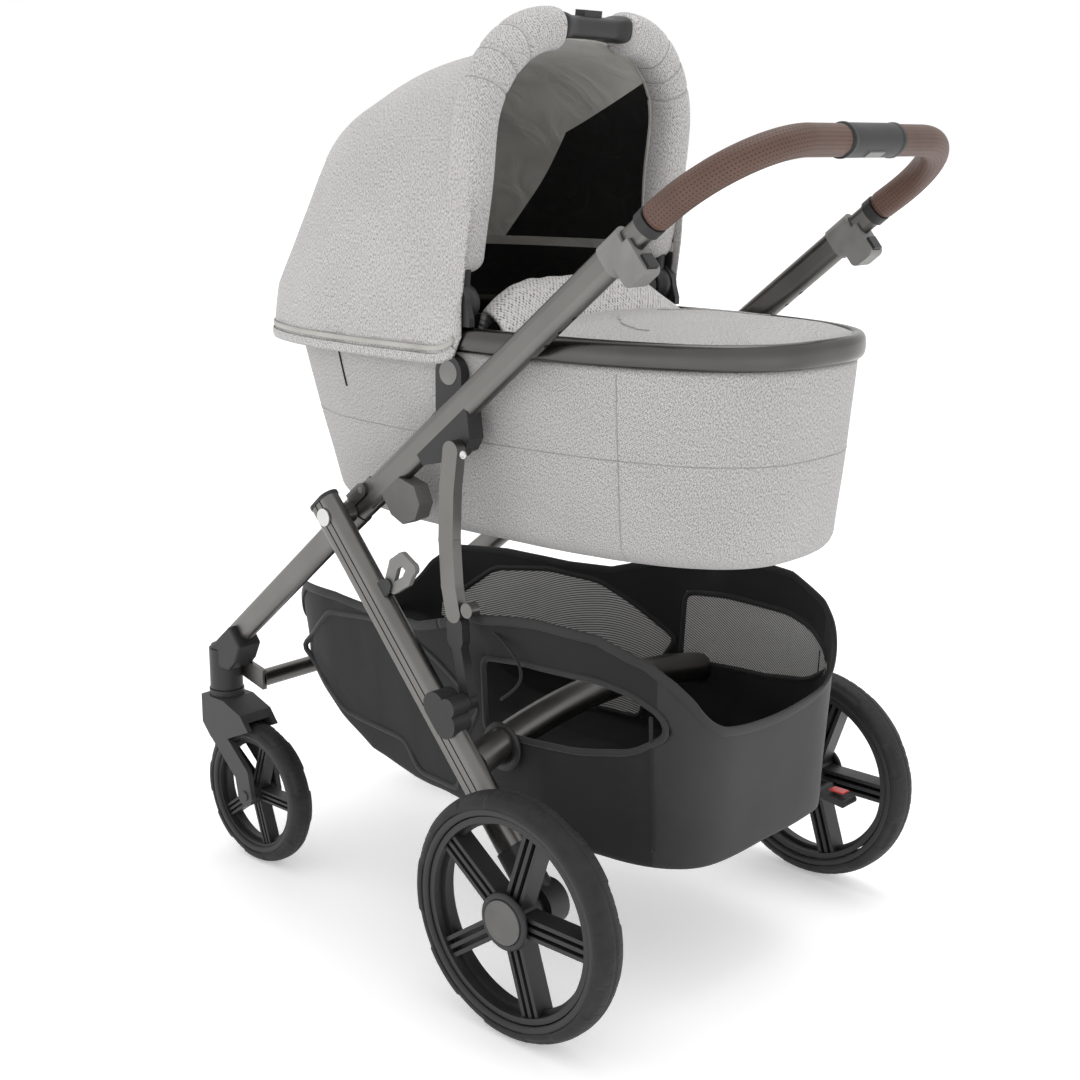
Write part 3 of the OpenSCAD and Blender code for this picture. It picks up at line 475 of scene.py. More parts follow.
def ribbed_mesh(name, light, dark, pitch):
    """See-through looking mesh: pale ribs along u with dark gaps, crossed by fine threads."""
    tree, shader = start(name, 0.75, 0.0, Sheen_Weight=0.1, Specular_IOR_Level=0.3)
    parts = node(tree, "SeparateXYZ", {0: node(tree, "TexCoord").outputs["UV"]})
    rib = wave(tree, parts.outputs[1], 1 / pitch)
    thread = wave(tree, parts.outputs[0], 1 / (pitch * 0.45))
    height = math_node(tree, "MULTIPLY_ADD", thread, 0.25, rib)
    share = math_node(tree, "MULTIPLY_ADD", height, 0.5, 0.5)
    paint(tree, shader, ramp(tree, share, [(0.3, dark), (0.62, light)]))
    relief(tree, shader, height, 0.0003, 0.6)


def red_mark(name):
    """The red enamel of the brake mark."""
    tree, shader = start(name, 0.35, 0.0, Coat_Weight=0.3)
    fine = noise(tree, "Object", 600)
    paint(tree, shader, ramp(tree, fine, [(0.3, (0.55, 0.008, 0.006)), (0.7, (0.7, 0.015, 0.01))]))


# The window's two slanting sides and its lower edge, as (y, z) from the hub line.
WINDOW_UPPER = ((-0.136, 0.193), (0.010, 0.252))
WINDOW_FRONT = ((-0.256, 0.054), (-0.136, 0.193))
WINDOW_FLOOR = 0.054
WINDOW_BINDING = 0.012


def hood_lining(name, colour, black, pipe):
    """Satin lining with a black mesh window: in the side view the window lies under the upper line, behind
    the front line and above the floor. Under it runs a light binding, and black cloth below that. The satin
    carries
    painted shade: darker in the troughs of its folds and lighter on their ridges."""
    tree, shader = start(name, 0.5, 0.0, Sheen_Weight=0.3, Sheen_Roughness=0.4)
    parts = node(tree, "SeparateXYZ", {0: node(tree, "TexCoord").outputs["Object"]})
    y = math_node(tree, "SUBTRACT", parts.outputs[1], float(HUB[1]))
    z = math_node(tree, "SUBTRACT", parts.outputs[2], float(HUB[2]))

    def below(line):
        """1 on the right-hand side of the line from its first point to its second, with y to the right."""
        (y0, z0), (y1, z1) = line
        a = math_node(tree, "MULTIPLY", math_node(tree, "SUBTRACT", z, z0), y1 - y0)
        b = math_node(tree, "MULTIPLY", math_node(tree, "SUBTRACT", y, y0), z1 - z0)
        return math_node(tree, "LESS_THAN", math_node(tree, "SUBTRACT", a, b), 0.0)

    window = math_node(tree, "MULTIPLY", below(WINDOW_UPPER), below(WINDOW_FRONT))
    window = math_node(tree, "MULTIPLY", window, math_node(tree, "GREATER_THAN", z, WINDOW_FLOOR))
    low = math_node(tree, "LESS_THAN", z, WINDOW_FLOOR - WINDOW_BINDING)
    bound = math_node(tree, "MULTIPLY", math_node(tree, "LESS_THAN", z, WINDOW_FLOOR),
                      math_node(tree, "GREATER_THAN", z, WINDOW_FLOOR - WINDOW_BINDING))
    dark = math_node(tree, "MAXIMUM", window, low)
    folds = noise(tree, "Object", (9, 20, 20), Detail=3.0, Distortion=1.2)
    # Painted shade: the fold noise that bumps the lining also makes the satin darker in the folds' troughs
    # and lighter on their ridges.
    satin = mottled(tree, folds, colour, 0.1, 0.12)
    shade = mixed(tree, dark, satin, (*black, 1))
    paint(tree, shader, mixed(tree, bound, shade, (*pipe, 1)))
    weave = cells(tree, "Object", 900)
    first = relief(tree, shader, folds, 0.006, 0.7)
    relief(tree, shader, weave, 0.0001, 0.4, first)


def finish(name):
    """A finish that the finishes operator has made."""
    return bpy.data.materials[name]


# ---- What a user may change ----


def length_property(name, description, default):
    """A length that a user may change."""
    return bpy.props.FloatProperty(name=name, description=description, default=default, unit="LENGTH")


def colour_property(name, description, default):
    """A colour that a user may change."""
    return bpy.props.FloatVectorProperty(name=name, description=description, default=default, subtype="COLOR")


class StrollerSizes(bpy.types.PropertyGroup):
    """The stroller's sizes"""

    weave: length_property("Weave", "Pitch of the hood's yarns", 0.0028)
    cloth: length_property("Cloth", "Thickness of the outer cloth", 0.0022)
    dome: length_property("Cover dome", "Rise of the cover over the feet", 0.016)
    slack: length_property("Hood slack", "Depth of the hood's ripples", 0.0016)
    tread_blocks: bpy.props.IntProperty(name="Tread blocks", description="Blocks round a tyre", default=8)


class StrollerColours(bpy.types.PropertyGroup):
    """The stroller's colours"""

    cloth_light: colour_property("Light yarn", "Lighter yarn of the grey cloth", (0.62, 0.605, 0.6))
    cloth_dark: colour_property("Dark yarn", "Darker yarn of the grey cloth", (0.17, 0.165, 0.165))
    lining: colour_property("Lining", "Satin inside the hood", (0.5, 0.49, 0.455))
    binding: colour_property("Binding", "Piping along the hood", (0.42, 0.41, 0.38))
    black_cloth: colour_property("Black cloth", "Cloth of the basket", (0.010, 0.010, 0.010))
    tube: colour_property("Tube", "Anodised frame tubes", (0.17, 0.165, 0.157))
    plastic: colour_property("Black plastic", "Moulded black parts", (0.022, 0.022, 0.023))
    grey: colour_property("Grey plastic", "Moulded grey parts", (0.19, 0.187, 0.18))
    rubber: colour_property("Rubber", "Tyres", (0.012, 0.012, 0.012))
    leather: colour_property("Leather", "Handle grip", (0.105, 0.055, 0.04))


class STROLLER_OT_finishes(bpy.types.Operator):
    """Makes every finish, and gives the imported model's own pieces theirs"""

    bl_idname = "stroller.finishes"
    bl_label = "Finishes"

    def execute(self, context):
        sizes, c = context.scene.stroller_sizes, context.scene.stroller_colours
        light, dark = tuple(c.cloth_light), tuple(c.cloth_dark)
        black = tuple(c.black_cloth)
        melange("Hood twill", light, dark, sizes.weave)
        melange("Body tweed", tint(light, -0.05), tint(dark, 0.2), sizes.weave * 0.85, 0.9, 0.8)
        melange("Inner basketweave", tint(light, 0.06), tint(dark, -0.4), sizes.weave * 2.0, 0.9, 1.5)
        plain_cloth("Seam thread", (0.3, 0.295, 0.29), 0.002)
        plain_cloth("Piping", tuple(c.binding), 0.0012, 0.6, 0.0001)
        plain_cloth("Black ripstop", black, 0.0014, 0.72, 0.0012)
        plain_cloth("Black panel", tint(black, 1.1), 0.0012, 0.6, 0.0005)
        plain_cloth("Mattress cover", (0.5, 0.5, 0.49), 0.002)
        ribbed_mesh("Basket mesh", (0.66, 0.655, 0.64), (0.12, 0.12, 0.12), 0.0034)
        hood_lining("Hood lining", tuple(c.lining), (0.006, 0.006, 0.006), tuple(c.binding))
        satin_metal("Anodised tube", tuple(c.tube))
        satin_metal("Rim metal", tint(tuple(c.tube), -0.45), 0.26)
        satin_metal("Steel", (0.55, 0.55, 0.54), 0.25)
        moulded("Black plastic", tuple(c.plastic), 0.45)
        moulded("Fork plastic", tint(tuple(c.plastic), 0.9), 0.5)
        moulded("Grey plastic", tuple(c.grey), 0.42)
        moulded("Cap plastic", tint(tuple(c.grey), -0.45), 0.4)
        tyre_rubber("Tyre rubber", tuple(c.rubber))
        grip_leather("Grip leather", tuple(c.leather))
        grip_leather("Tag leather", tint(tuple(c.leather), -0.6), 0.05)
        red_mark("Brake red")
        by_slot = {"tube": "Anodised tube", "dark_plastic": "Black plastic", "grey_plastic": "Grey plastic",
                   "steel": "Steel", "tyre": "Tyre rubber", "grey_cloth": "Hood twill",
                   "black_cloth": "Black ripstop", "white_cloth": "Mattress cover", "leather": "Grip leather"}
        slots = {s["node"]: s["material_slot"] for s in frame["record"]["subparts"]}
        special = {"caster_fork_left": "Fork plastic", "caster_fork_right": "Fork plastic",
                   "side_strut_left": "Anodised tube", "side_strut_right": "Anodised tube",
                   "accessory_sockets": "Cap plastic",
                   "rear_cap_left": "Cap plastic", "rear_cap_right": "Cap plastic"}
        for name, obj in frame["nodes"].items():
            obj.data.materials.clear()
            obj.data.materials.append(finish(special.get(name, by_slot[slots[name]])))
        return {"FINISHED"}


# ---- Hood ----

HOOD_LOW, HOOD_HIGH = box("canopy_hood")
HOOD_BACK = 0.026
HOOD_NOSE = HUB[1] - HOOD_BACK - HOOD_LOW[1]
SKIRT = HUB[2] - HOOD_LOW[2]
FLARE = 0.016
CORNER = 0.035
COVER = 0.046


def hood_outline(inset):
    """The hood's middle line in the side view, as (y, z) from the hub line: straight between its bows, with
    soft corners, and moved inset towards the hub."""
    corners = [(0.046, 0.305), (-0.02, 0.294), (-0.13, 0.276), (-0.277, 0.212), (-(HOOD_NOSE - FLARE), 0.0)]
    line = rounded(corners, 84, 0.05)
    reach = np.linalg.norm(line, axis=1)
    return line * ((reach - inset) / reach)[:, None]


def hood_grid(inset, across=97, skirt_rows=12):
    """Ribs that fan out from the hub line: each is a superellipse as wide as the hood and as high as the
    outline at that angle. Below the hub line the last rib runs down and out as a skirt, and by the bow the
    sides reach back a little to cover its foot."""
    half = HOOD_HIGH[0] - inset
    turn = np.linspace(0, math.pi, 721)
    unit = evenly(superellipse(1.0, 1.9, PLAN_POWER, turn), across) / (1.0, 1.9)
    outline = hood_outline(inset)
    x = half * np.broadcast_to(unit[:, 0], (len(outline), across))
    y = HUB[1] - HOOD_BACK + unit[:, 1] * outline[:, :1]
    z = HUB[2] + unit[:, 1] * outline[:, 1:]
    top = np.stack([x, y, z], -1)
    drop = np.linspace(0, 1, skirt_rows + 1)[1:, None]
    reach = HOOD_NOSE - FLARE - inset + FLARE * drop**0.8
    y = HUB[1] - HOOD_BACK - unit[:, 1] * reach
    rear = np.minimum(unit[:, 1] * reach, CORNER)
    corner = CORNER - np.sqrt(np.maximum(CORNER**2 - (CORNER - rear) ** 2, 0))
    z = HUB[2] - drop * (SKIRT - corner)
    x = half * np.broadcast_to(unit[:, 0], z.shape)
    grid = np.concatenate([top, np.stack([x, y, z], -1)])
    ahead = HUB[1] - HOOD_BACK - grid[..., 1]
    grid[..., 1] += COVER * smoothstep(np.abs(grid[..., 0]), 0.185, 0.2) * np.exp(-((ahead / 0.055) ** 2))
    return grid


def fan_uv(points):
    """UV in metres for the fan: polar round each hub, so the flat sides keep their weave square."""
    y, z = points[..., 1] - HUB[1] + HOOD_BACK, points[..., 2] - HUB[2]
    rise = HOOD_HIGH[0] - np.abs(points[..., 0])
    reach = np.hypot(y, z)
    stretch = (reach + 0.55 * rise) / np.maximum(reach, 1e-6)
    return np.stack([y * stretch, z * stretch], -1)


class STROLLER_OT_hood(bpy.types.Operator):
    """Sews the hood: the outer cloth, its lining with the mesh window, and the piped hem"""

    bl_idname = "stroller.hood"
    bl_label = "Hood"

    def execute(self, context):
        sizes = context.scene.stroller_sizes
        grid = hood_grid(0.0)
        side = smoothstep(np.abs(grid[..., 0]), 0.06, 0.2)
        ripple = wrinkles(grid[..., 1], grid[..., 2], 4, 1.2) * side
        inward = np.stack([-np.sign(grid[..., 0]) * side, np.zeros_like(side), -(1 - side)], -1)
        outer = grid + inward * (sizes.slack * (1 + ripple[..., None]))
        hood = surface("hood", outer, finish("Hood twill"), uv=fan_uv(outer))
        fix_normals(hood, True)
        wall(hood, sizes.cloth)
        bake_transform(hood)
        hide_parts("canopy_hood")

        inner = hood_grid(sizes.cloth + sizes.slack * 2 + 0.0015)
        inner = inner[:-1]
        lining = surface("hood_lining", inner, finish("Hood lining"), uv=fan_uv(inner))
        fix_normals(lining, True)
        wall(lining, 0.0008)
        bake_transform(lining)

        edge = grid[-1] + (0, 0, 0.0012)
        up = grid[-5] - grid[-1]
        up /= np.linalg.norm(up, axis=1)[:, None]
        across = np.sign(edge[:, 0]) * np.abs(edge[:, 0] / HOOD_HIGH[0]) ** 3
        outwards = np.stack([across, -np.ones(len(edge)), np.zeros(len(edge))], -1)
        outwards[:, 1] *= np.clip((HUB[1] - HOOD_BACK - edge[:, 1]) / 0.3, 0, 1) ** 2
        outwards /= np.maximum(np.linalg.norm(outwards, axis=1), 1e-6)[:, None]
        for name, height, radius, tall, material in (("hood_piping", 0.017, 0.0012, 2.6, "Piping"),
                                                     ("hood_hem", 0.0055, 0.0011, 4.6, "Hood twill")):
            line = evenly(edge + up * height + outwards * 0.0004, 160)[3:-3]
            along, share = np.linspace(0, 1, len(line)), np.linspace(0, 1, len(edge))
            way = np.stack([np.interp(along, share, outwards[:, k]) for k in range(3)], -1)
            section = superellipse(radius, radius * tall, 2.4, np.arange(12) * math.pi / 6)
            bead = tube(name, line, section, way, finish(material))
            fix_normals(bead)
            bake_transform(bead)
        return {"FINISHED"}


# ---- Bow with its padded roll and carry handle ----

BOW_TILT = math.radians(6)
BAR_TOP = box("carry_handle")[1][2]
LEAN = np.array([0.0, math.cos(BOW_TILT), -math.sin(BOW_TILT)])
SEAMS = (0.60, 0.69, 0.78)
ROLL_STEPS, ROLL_TURNS = 140, 40


def bow_path(half, high, corner, low, x_end, count):
    """Half of the arch from its foot up to x_end from the middle, in the plane that leans back through the
    hubs."""
    arc = np.linspace(0, math.pi / 2, 40)
    line = np.concatenate([
        [(half, low)],
        np.stack([half - corner + corner * np.cos(arc), high - corner + corner * np.sin(arc)], -1),
        [(x_end, high)],
    ])
    line = evenly(line, count)
    lean_y, lean_z = math.sin(BOW_TILT), math.cos(BOW_TILT)
    return np.stack([line[:, 0], HUB[1] + line[:, 1] * lean_y, HUB[2] + line[:, 1] * lean_z], -1)


class STROLLER_OT_bow(bpy.types.Operator):
    """Pads the bow, and shapes the carry handle, its sleeve and its hubs"""

    bl_idname = "stroller.bow"
    bl_label = "Bow and carry handle"

    def execute(self, context):
        high = (BAR_TOP - HUB[2]) / math.cos(BOW_TILT) - 0.0125
        for side, word in SIDES:
            path = bow_path(0.1785, high - 0.004, 0.116, 0.034, 0.052, ROLL_STEPS)
            s = np.linspace(0, 1, ROLL_STEPS)
            ends = np.sqrt(np.clip(1 - np.clip(1 - s / 0.05, 0, 1) ** 2, 0.0, 1))
            ends *= np.sqrt(np.clip(1 - np.clip((s - 0.955) / 0.045, 0, 1) ** 2, 0.0, 1))
            swell = np.maximum(ends, 0.02)
            pinch = sum(np.exp(-((s - p) / 0.008) ** 2) for p in SEAMS)
            swell = swell * (1 - 0.07 * pinch) * (1 + 0.025 * np.sin(9 * s + side))
            section = profile(0.0245, 0.0245, ROLL_TURNS, 2.5)[None] * swell[:, None, None]
            section = section * np.stack([0.55 + 0.45 * smoothstep(s, 0, 0.35), 1 + 0 * s], -1)[:, None]
            points = along_path(path, section, LEAN)
            widest = HOOD_HIGH[0] - 0.004 + 0.0035 * smoothstep(points[..., 2], 0.95, 1.02)
            points[..., 0] = np.minimum(points[..., 0], widest) * side
            roll = surface(f"bow_roll_{word}", points, finish("Hood twill"), (False, True), True)
            fix_normals(roll, True)
            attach(roll, "canopy")
            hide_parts("canopy_roll")
            for k, place in enumerate((0.42, 0.66)):
                turn = -math.pi * 0.5 - place
                line = points[6:-8, round(turn / (2 * math.pi) * ROLL_TURNS) % ROLL_TURNS]
                bead = cord_along(f"bow_piping_{word}_{k + 1}", evenly(line, 110), 0.0016, finish("Piping"),
                                  LEAN, 8)
                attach(bead, "canopy")
            for k, place in enumerate(SEAMS):
                row = points[int(place * (ROLL_STEPS - 1))]
                ring = np.concatenate([row, row[:1]])
                thread = cord_along(f"bow_seam_{word}_{k + 1}", ring, 0.0007, finish("Seam thread"),
                                    (0.3, 1, 0.2), 6)
                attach(thread, "canopy")
            arm = bow_path(0.182, high, 0.12, 0.0, 0.0, 80)
            arm[:, 0] *= side
            if side > 0:
                left = arm
        arm = np.concatenate([left, arm[-2::-1]])
        bar = tube("carry_bar", arm, profile(0.0105, 0.0068, 28, 3.4), LEAN, finish("Black plastic"))
        fix_normals(bar)
        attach(bar, "canopy")
        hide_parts("carry_handle")
        hold = cross_sleeve("carry_sleeve", 0.058, 30, arm[len(arm) // 2], profile(0.0165, 0.0125, 32, 3.0),
                            (0.28, 0.035, 0.056), LEAN)
        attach(hold, "canopy")
        for side, word in SIDES:
            x = (0.1885, 0.1885, 0.187, 0.176, 0.1745, 0.170, 0.1685, 0.1685, 0.176, 0.176)
            radius = (0.0062, 0.0225, 0.024, 0.024, 0.0215, 0.0205, 0.019, 0.0146, 0.0146, 0.0062)
            hub = lathe(f"bow_hub_{word}", [(side * a, r) for a, r in zip(x, radius)], (0, HUB[1], HUB[2]),
                        finish("Black plastic"), 72)
            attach(hub, "canopy")
        return {"FINISHED"}


# ---- Bassinet ----

BODY_Y = RIM_MID[1]
BODY_HIGH = RIM_LOW[2]
BODY_LOW = box("bassinet_shell")[0][2]
SEAM_LEVEL = 0.55
COVER_GAP = 0.0155
RIM_HALF, RIM_LONG = RIM_HIGH[0], RIM_HIGH[1] - RIM_MID[1]


def body_ring(height, inset, count=181):
    """The bassinet's plan at a share of its height: a superellipse that shrinks and moves back as it goes
    down."""
    low_half, high_half = RIM_HALF - 0.030, RIM_HALF - 0.008
    low_long, high_long = RIM_LONG - 0.058, RIM_LONG - 0.012
    turn = np.arange(1440) * 2 * math.pi / 1440
    plan = superellipse(low_half + (high_half - low_half) * height - inset,
                        low_long + (high_long - low_long) * height - inset, PLAN_POWER, turn)
    ring = evenly(plan, count - 1, True)
    z = BODY_LOW + (BODY_HIGH - BODY_LOW) * height
    return np.concatenate([ring + (0, BODY_Y + 0.030 * (1 - height)), np.full((len(ring), 1), z)], 1)


class STROLLER_OT_bassinet(bpy.types.Operator):
    """Sews the bassinet's body, with its seams and vent, and bends its rim"""

    bl_idname = "stroller.bassinet"
    bl_label = "Bassinet"

    def execute(self, context):
        deep = BODY_HIGH - BODY_LOW
        curve = np.linspace(0.1, 1.57, 10)
        heights = np.concatenate([np.linspace(1.0, 0.11, 30), 0.11 - 0.11 * np.sin(curve)])
        insets = np.concatenate([np.zeros(30), 0.024 * (1 - np.cos(curve))])
        rings = np.stack([body_ring(h, i) for h, i in zip(heights, insets)])
        swell = np.sin(math.pi * np.clip((heights - 0.05) / 0.95, 0, 1))[:, None] * 0.0018
        centre = np.array([0, BODY_Y + 0.01, 0])
        outward = (rings - centre) * (1, 0.25, 0)
        outward /= np.linalg.norm(outward, axis=2)[..., None]
        ripple = wrinkles(rings[..., 1] + rings[..., 0], rings[..., 2] * 0.7, 9, 1.6) * 0.0009
        seam = -0.0014 * np.exp(-(((heights - SEAM_LEVEL) * deep / 0.0016) ** 2))[:, None]
        rings = rings + outward * (swell + ripple + seam - 0.001)[..., None]
        close = rings[-1].mean(0)
        base = np.stack([rings[-1] * (1 - t) + close * t for t in (0.35, 0.7, 0.97)])
        skin = np.concatenate([rings, base])
        body = surface("bassinet_body", skin[::-1], finish("Body tweed"), (False, True))
        fix_normals(body)
        wall(body, 0.005)
        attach(body, "bassinet")
        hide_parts("bassinet_shell")

        def stitched(name, line, radius, material):
            thread = cord_along(name, line, radius, finish(material), (0.2, 0.3, 1), 8)
            fix_normals(thread)
            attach(thread, "bassinet")

        for side, word in SIDES:
            for label, y_at, first, last, radius, material in (
                    ("body_seam", 0.250, 1, 36, 0.0007, "Seam thread"),
                    ("vent", -0.186, 2, 10, 0.0017, "Black ripstop")):
                rows = []
                for ring in rings[first:last]:
                    mine = ring[ring[:, 0] * side > 0]
                    lean = y_at - (0.25 * (ring[0, 2] - 0.70) if label == "vent" else 0)
                    order = np.argsort(mine[:, 1])
                    rows.append((np.interp(lean, mine[order, 1], mine[order, 0]), lean, ring[0, 2]))
                stitched(f"{label}_{word}", evenly(np.array(rows), 60), radius, material)
        level = rings[np.argmin(np.abs(heights - SEAM_LEVEL))]
        stitched("body_seam_level", np.concatenate([level, level[:1]]), 0.0006, "Seam thread")

        inner = np.stack([body_ring(h, 0.0075) for h in np.linspace(1.0, 0.08, 12)])
        liner = surface("bassinet_liner", inner, finish("Black ripstop"), (False, True), flip=True)
        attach(liner, "bassinet")

        ring = body_ring(1.0, -0.008 + 0.0095, 241)
        ring[:, 2] = (RIM_LOW[2] + RIM_HIGH[2]) / 2
        section = profile(0.0095, (RIM_HIGH[2] - RIM_LOW[2]) / 2 - 0.0002, 28, 2.6)
        tangent = np.roll(ring, -1, 0) - np.roll(ring, 1, 0)
        side = np.cross(tangent, (0, 0, 1.0))
        side /= np.linalg.norm(side, axis=1)[:, None]
        points = ring[:, None] + section[None, :, :1] * side[:, None] + section[None, :, 1:] * (0, 0, 1.0)
        rim = surface("bassinet_edge", points, finish("Rim metal"), (True, True))
        fix_normals(rim)
        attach(rim, "bassinet")
        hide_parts("bassinet_rim")
        return {"FINISHED"}


class STROLLER_OT_bedding(bpy.types.Operator):
    """Makes the mattress, the cover over the feet and the raised inner flap"""

    bl_idname = "stroller.bedding"
    bl_label = "Bedding"

    def execute(self, context):
        sizes = context.scene.stroller_sizes
        low, high = box("mattress")
        middle, half = (low + high) / 2, (high - low) / 2
        s = np.linspace(0, 1, 18)
        inset = 0.016 * (1 - np.sqrt(np.clip(1 - (2 * s - 1) ** 2, 0, 1)))
        turn = np.arange(160) * 2 * math.pi / 160
        plans = [superellipse(half[0] - i, half[1] - i, PLAN_POWER, turn) + middle[:2] for i in inset]
        rings = np.stack([np.column_stack([plan, np.full(len(plan), low[2] + (high[2] - low[2]) * h)])
                          for plan, h in zip(plans, s)])
        tops = []
        for share in (0.9, 0.7, 0.45, 0.2, 0.03):
            ring = rings[-1].copy()
            ring[:, :2] = middle[:2] + (ring[:, :2] - middle[:2]) * share
            quilt = np.sin(ring[:, 0] * 60) * np.sin(ring[:, 1] * 60)
            ring[:, 2] += 0.004 * (1 - share) + 0.001 * quilt
            tops.append(ring)
        pad = surface("mattress_pad", np.concatenate([rings, np.stack(tops)]), finish("Mattress cover"),
                      (False, True), True)
        fix_normals(pad)
        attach(pad, "bassinet")
        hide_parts("mattress")

        edge_y = box("apron")[0][1]
        u = np.linspace(-1, 1, 101)
        v = np.linspace(0, 1, 81)
        v, u = np.meshgrid(v, u, indexing="ij")
        half_long, half_wide = RIM_LONG - COVER_GAP, RIM_HALF - COVER_GAP
        place = (edge_y - BODY_Y + v * (BODY_Y + half_long - edge_y)) / half_long
        x = u * half_wide * np.clip(1 - np.abs(place) ** PLAN_POWER, 0, 1) ** (1 / PLAN_POWER)
        y = edge_y - 0.010 + v * (BODY_Y + half_long - edge_y + 0.010)
        rim_near = np.minimum(1 - np.abs(u) ** 3, smoothstep(1 - v, 0.0, 0.25))
        dome = rim_near * (0.55 + 0.45 * np.cos(u * 1.2)) * sizes.dome * (0.75 + 0.25 * np.sin(v * 2.6))
        front_drop = 0.006 * (1 - smoothstep(v, 0.0, 0.05))
        z = RIM_HIGH[2] - 0.0035 + dome - front_drop + 0.0014 * wrinkles(x, y, 21, 1.3) * rim_near
        grid = np.stack([x, y, z], -1)
        cover = surface("foot_cover", grid, finish("Hood twill"))
        fix_normals(cover)
        wall(cover, 0.003)
        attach(cover, "bassinet")
        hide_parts("apron")
        for side in (1, -1):
            arc = np.linspace(0, 1, 24)
            row = np.clip((arc * 26 + 16).astype(int), 0, 80)
            place = np.clip(50 + side * (10 + 26 * np.sin(arc * 1.5)), 0, 100).astype(int)
            line = grid[row, place] + (0, 0, 0.0012)
            seam = cord_along(f"cover_seam_{'left' if side > 0 else 'right'}", evenly(line, 40), 0.0007,
                              finish("Hood twill"), count=6)
            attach(seam, "bassinet")

        flap_low, flap_high = box("wind_flap")
        u = np.linspace(-1, 1, 90)[None]
        v = np.linspace(0, 1, 40)[:, None]
        half_wide = flap_high[0] + 0.022
        crown = 1 - np.abs(u) ** 4
        height = flap_high[2] - flap_low[2]
        y = flap_high[1] + 0.006 - v * (flap_high[1] - flap_low[1] + 0.05) + 0 * u
        rise = np.sin(np.clip(v * 1.35, 0, 1) * math.pi / 2)
        z = flap_low[2] - 0.004 + (height + 0.004) * rise * (0.45 + 0.55 * crown)
        z -= 0.03 * smoothstep(v, 0.75, 1.0)
        x = u * half_wide * (1 - 0.12 * v) + 0 * v
        z = z + 0.0022 * wrinkles(x, y * 3, 31, 1.0) * crown
        grid = np.stack([x, y, z], -1)
        flap = surface("inner_flap", grid, finish("Inner basketweave"))
        fix_normals(flap)
        wall(flap, 0.006)
        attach(flap, "bassinet")
        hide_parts("wind_flap")
        return {"FINISHED"}


# ---- Basket ----


def shift(pairs):
    """Pairs in millimetres, the first of each counted from the rear axle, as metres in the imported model."""
    return np.array(pairs, float) / 1000 + (AXLE[1], 0)


MESH_WINDOW = shift([(-562, 305), (-470, 379), (-376, 392), (-289, 388), (-235, 367), (-158, 328),
                     (-182, 290), (-203, 262), (-206, 204), (-286, 204), (-316, 240), (-449, 242)])
SIDE_OPENING = shift([(-150, 300), (-150, 394), (-89, 401), (21, 401), (60, 392), (92, 372), (101, 348),
                      (62, 322), (-10, 308), (-79, 304)])
FLOOR_LINE = shift([(-592, 296), (-540, 262), (-464, 218), (-391, 186), (-300, 174), (-60, 166), (140, 164)])
HEM_LINE = shift([(-592, 330), (-566, 378), (-538, 403), (-450, 408), (-340, 405), (-270, 408),
                  (-205, 428), (-160, 449), (-60, 456), (21, 452), (80, 430), (118, 398), (132, 372),
                  (140, 368)])
WIDTH_LINE = shift([(-592, 156), (-480, 168), (-360, 180), (-160, 206), (-60, 208), (60, 200), (140, 196)])
BASKET_ROWS, BASKET_COLUMNS = 84, 420
SIDE_FROM = 0.13
CORNER_Y = AXLE[1] + 0.082
BOTTOM = 0.42


def inside(polygon, y, z):
    """Which of the points (y, z) lie inside the polygon, by crossings of its edges."""
    hit = np.zeros(y.shape, bool)
    for (y0, z0), (y1, z1) in zip(polygon, np.roll(polygon, -1, 0)):
        crosses = (z0 > z) != (z1 > z)
        at = y0 + (z - z0) * (y1 - y0) / np.where(z1 == z0, 1e-9, z1 - z0)
        hit ^= crosses & (y < at)
    return hit


def basket_grid(rows, count):
    """The basket as rows from its floor's middle up to the hem, each a rounded rectangle in plan. The floor,
    hem and width lines give each point's height and width from its place along the model."""
    turn = np.arange(2880) * 2 * math.pi / 2880
    unit = evenly(superellipse(0.19, 0.366, 5.5, turn), count, True) / (0.19, 0.366)
    front, back = FLOOR_LINE[0, 0], FLOOR_LINE[-1, 0] - 0.006
    share = np.linspace(0.03, 1, rows)[:, None]
    spread = smoothstep(share, -0.3, BOTTOM + 0.02) ** 0.8
    spread = np.where(share < BOTTOM, share / BOTTOM * 0.985, 1.0) * np.minimum(1, spread + 0.2)
    rise = np.clip((share - BOTTOM) / (1 - BOTTOM), 0, 1)
    y = (front + back) / 2 + unit[:, 1] * (back - front) / 2 * spread * (0.985 + 0.015 * rise)
    half = np.interp(y, *WIDTH_LINE.T) * (0.90 + 0.10 * rise**0.7)
    x = unit[:, 0] * half * spread
    low = np.interp(y, *FLOOR_LINE.T)
    dip = smoothstep(unit[:, 1], 0.9, 0.99) * (1 - np.abs(unit[:, 0]) ** 2) * 0.034
    high = np.interp(y, *HEM_LINE.T) - dip
    sag = 0.006 * np.exp(-(((y - AXLE[1] + 0.1) / 0.16) ** 2)) * (1 - np.abs(unit[:, 0] * spread) ** 2)
    lift = 0.016 * smoothstep(share, BOTTOM * 0.8, BOTTOM * 1.02) * (1 - rise)
    z = low + (high - low - 0.016) * rise - sag * (share < BOTTOM) + lift + 0.016 * rise
    lug = np.exp(-(((y - AXLE[1] + 0.135) / 0.034) ** 2)) * np.sign(x) * (np.abs(unit[:, 0]) > 0.9)
    x = x + 0.017 * lug * smoothstep(z, 0.39, 0.45)
    return np.stack([x, y, z], -1)


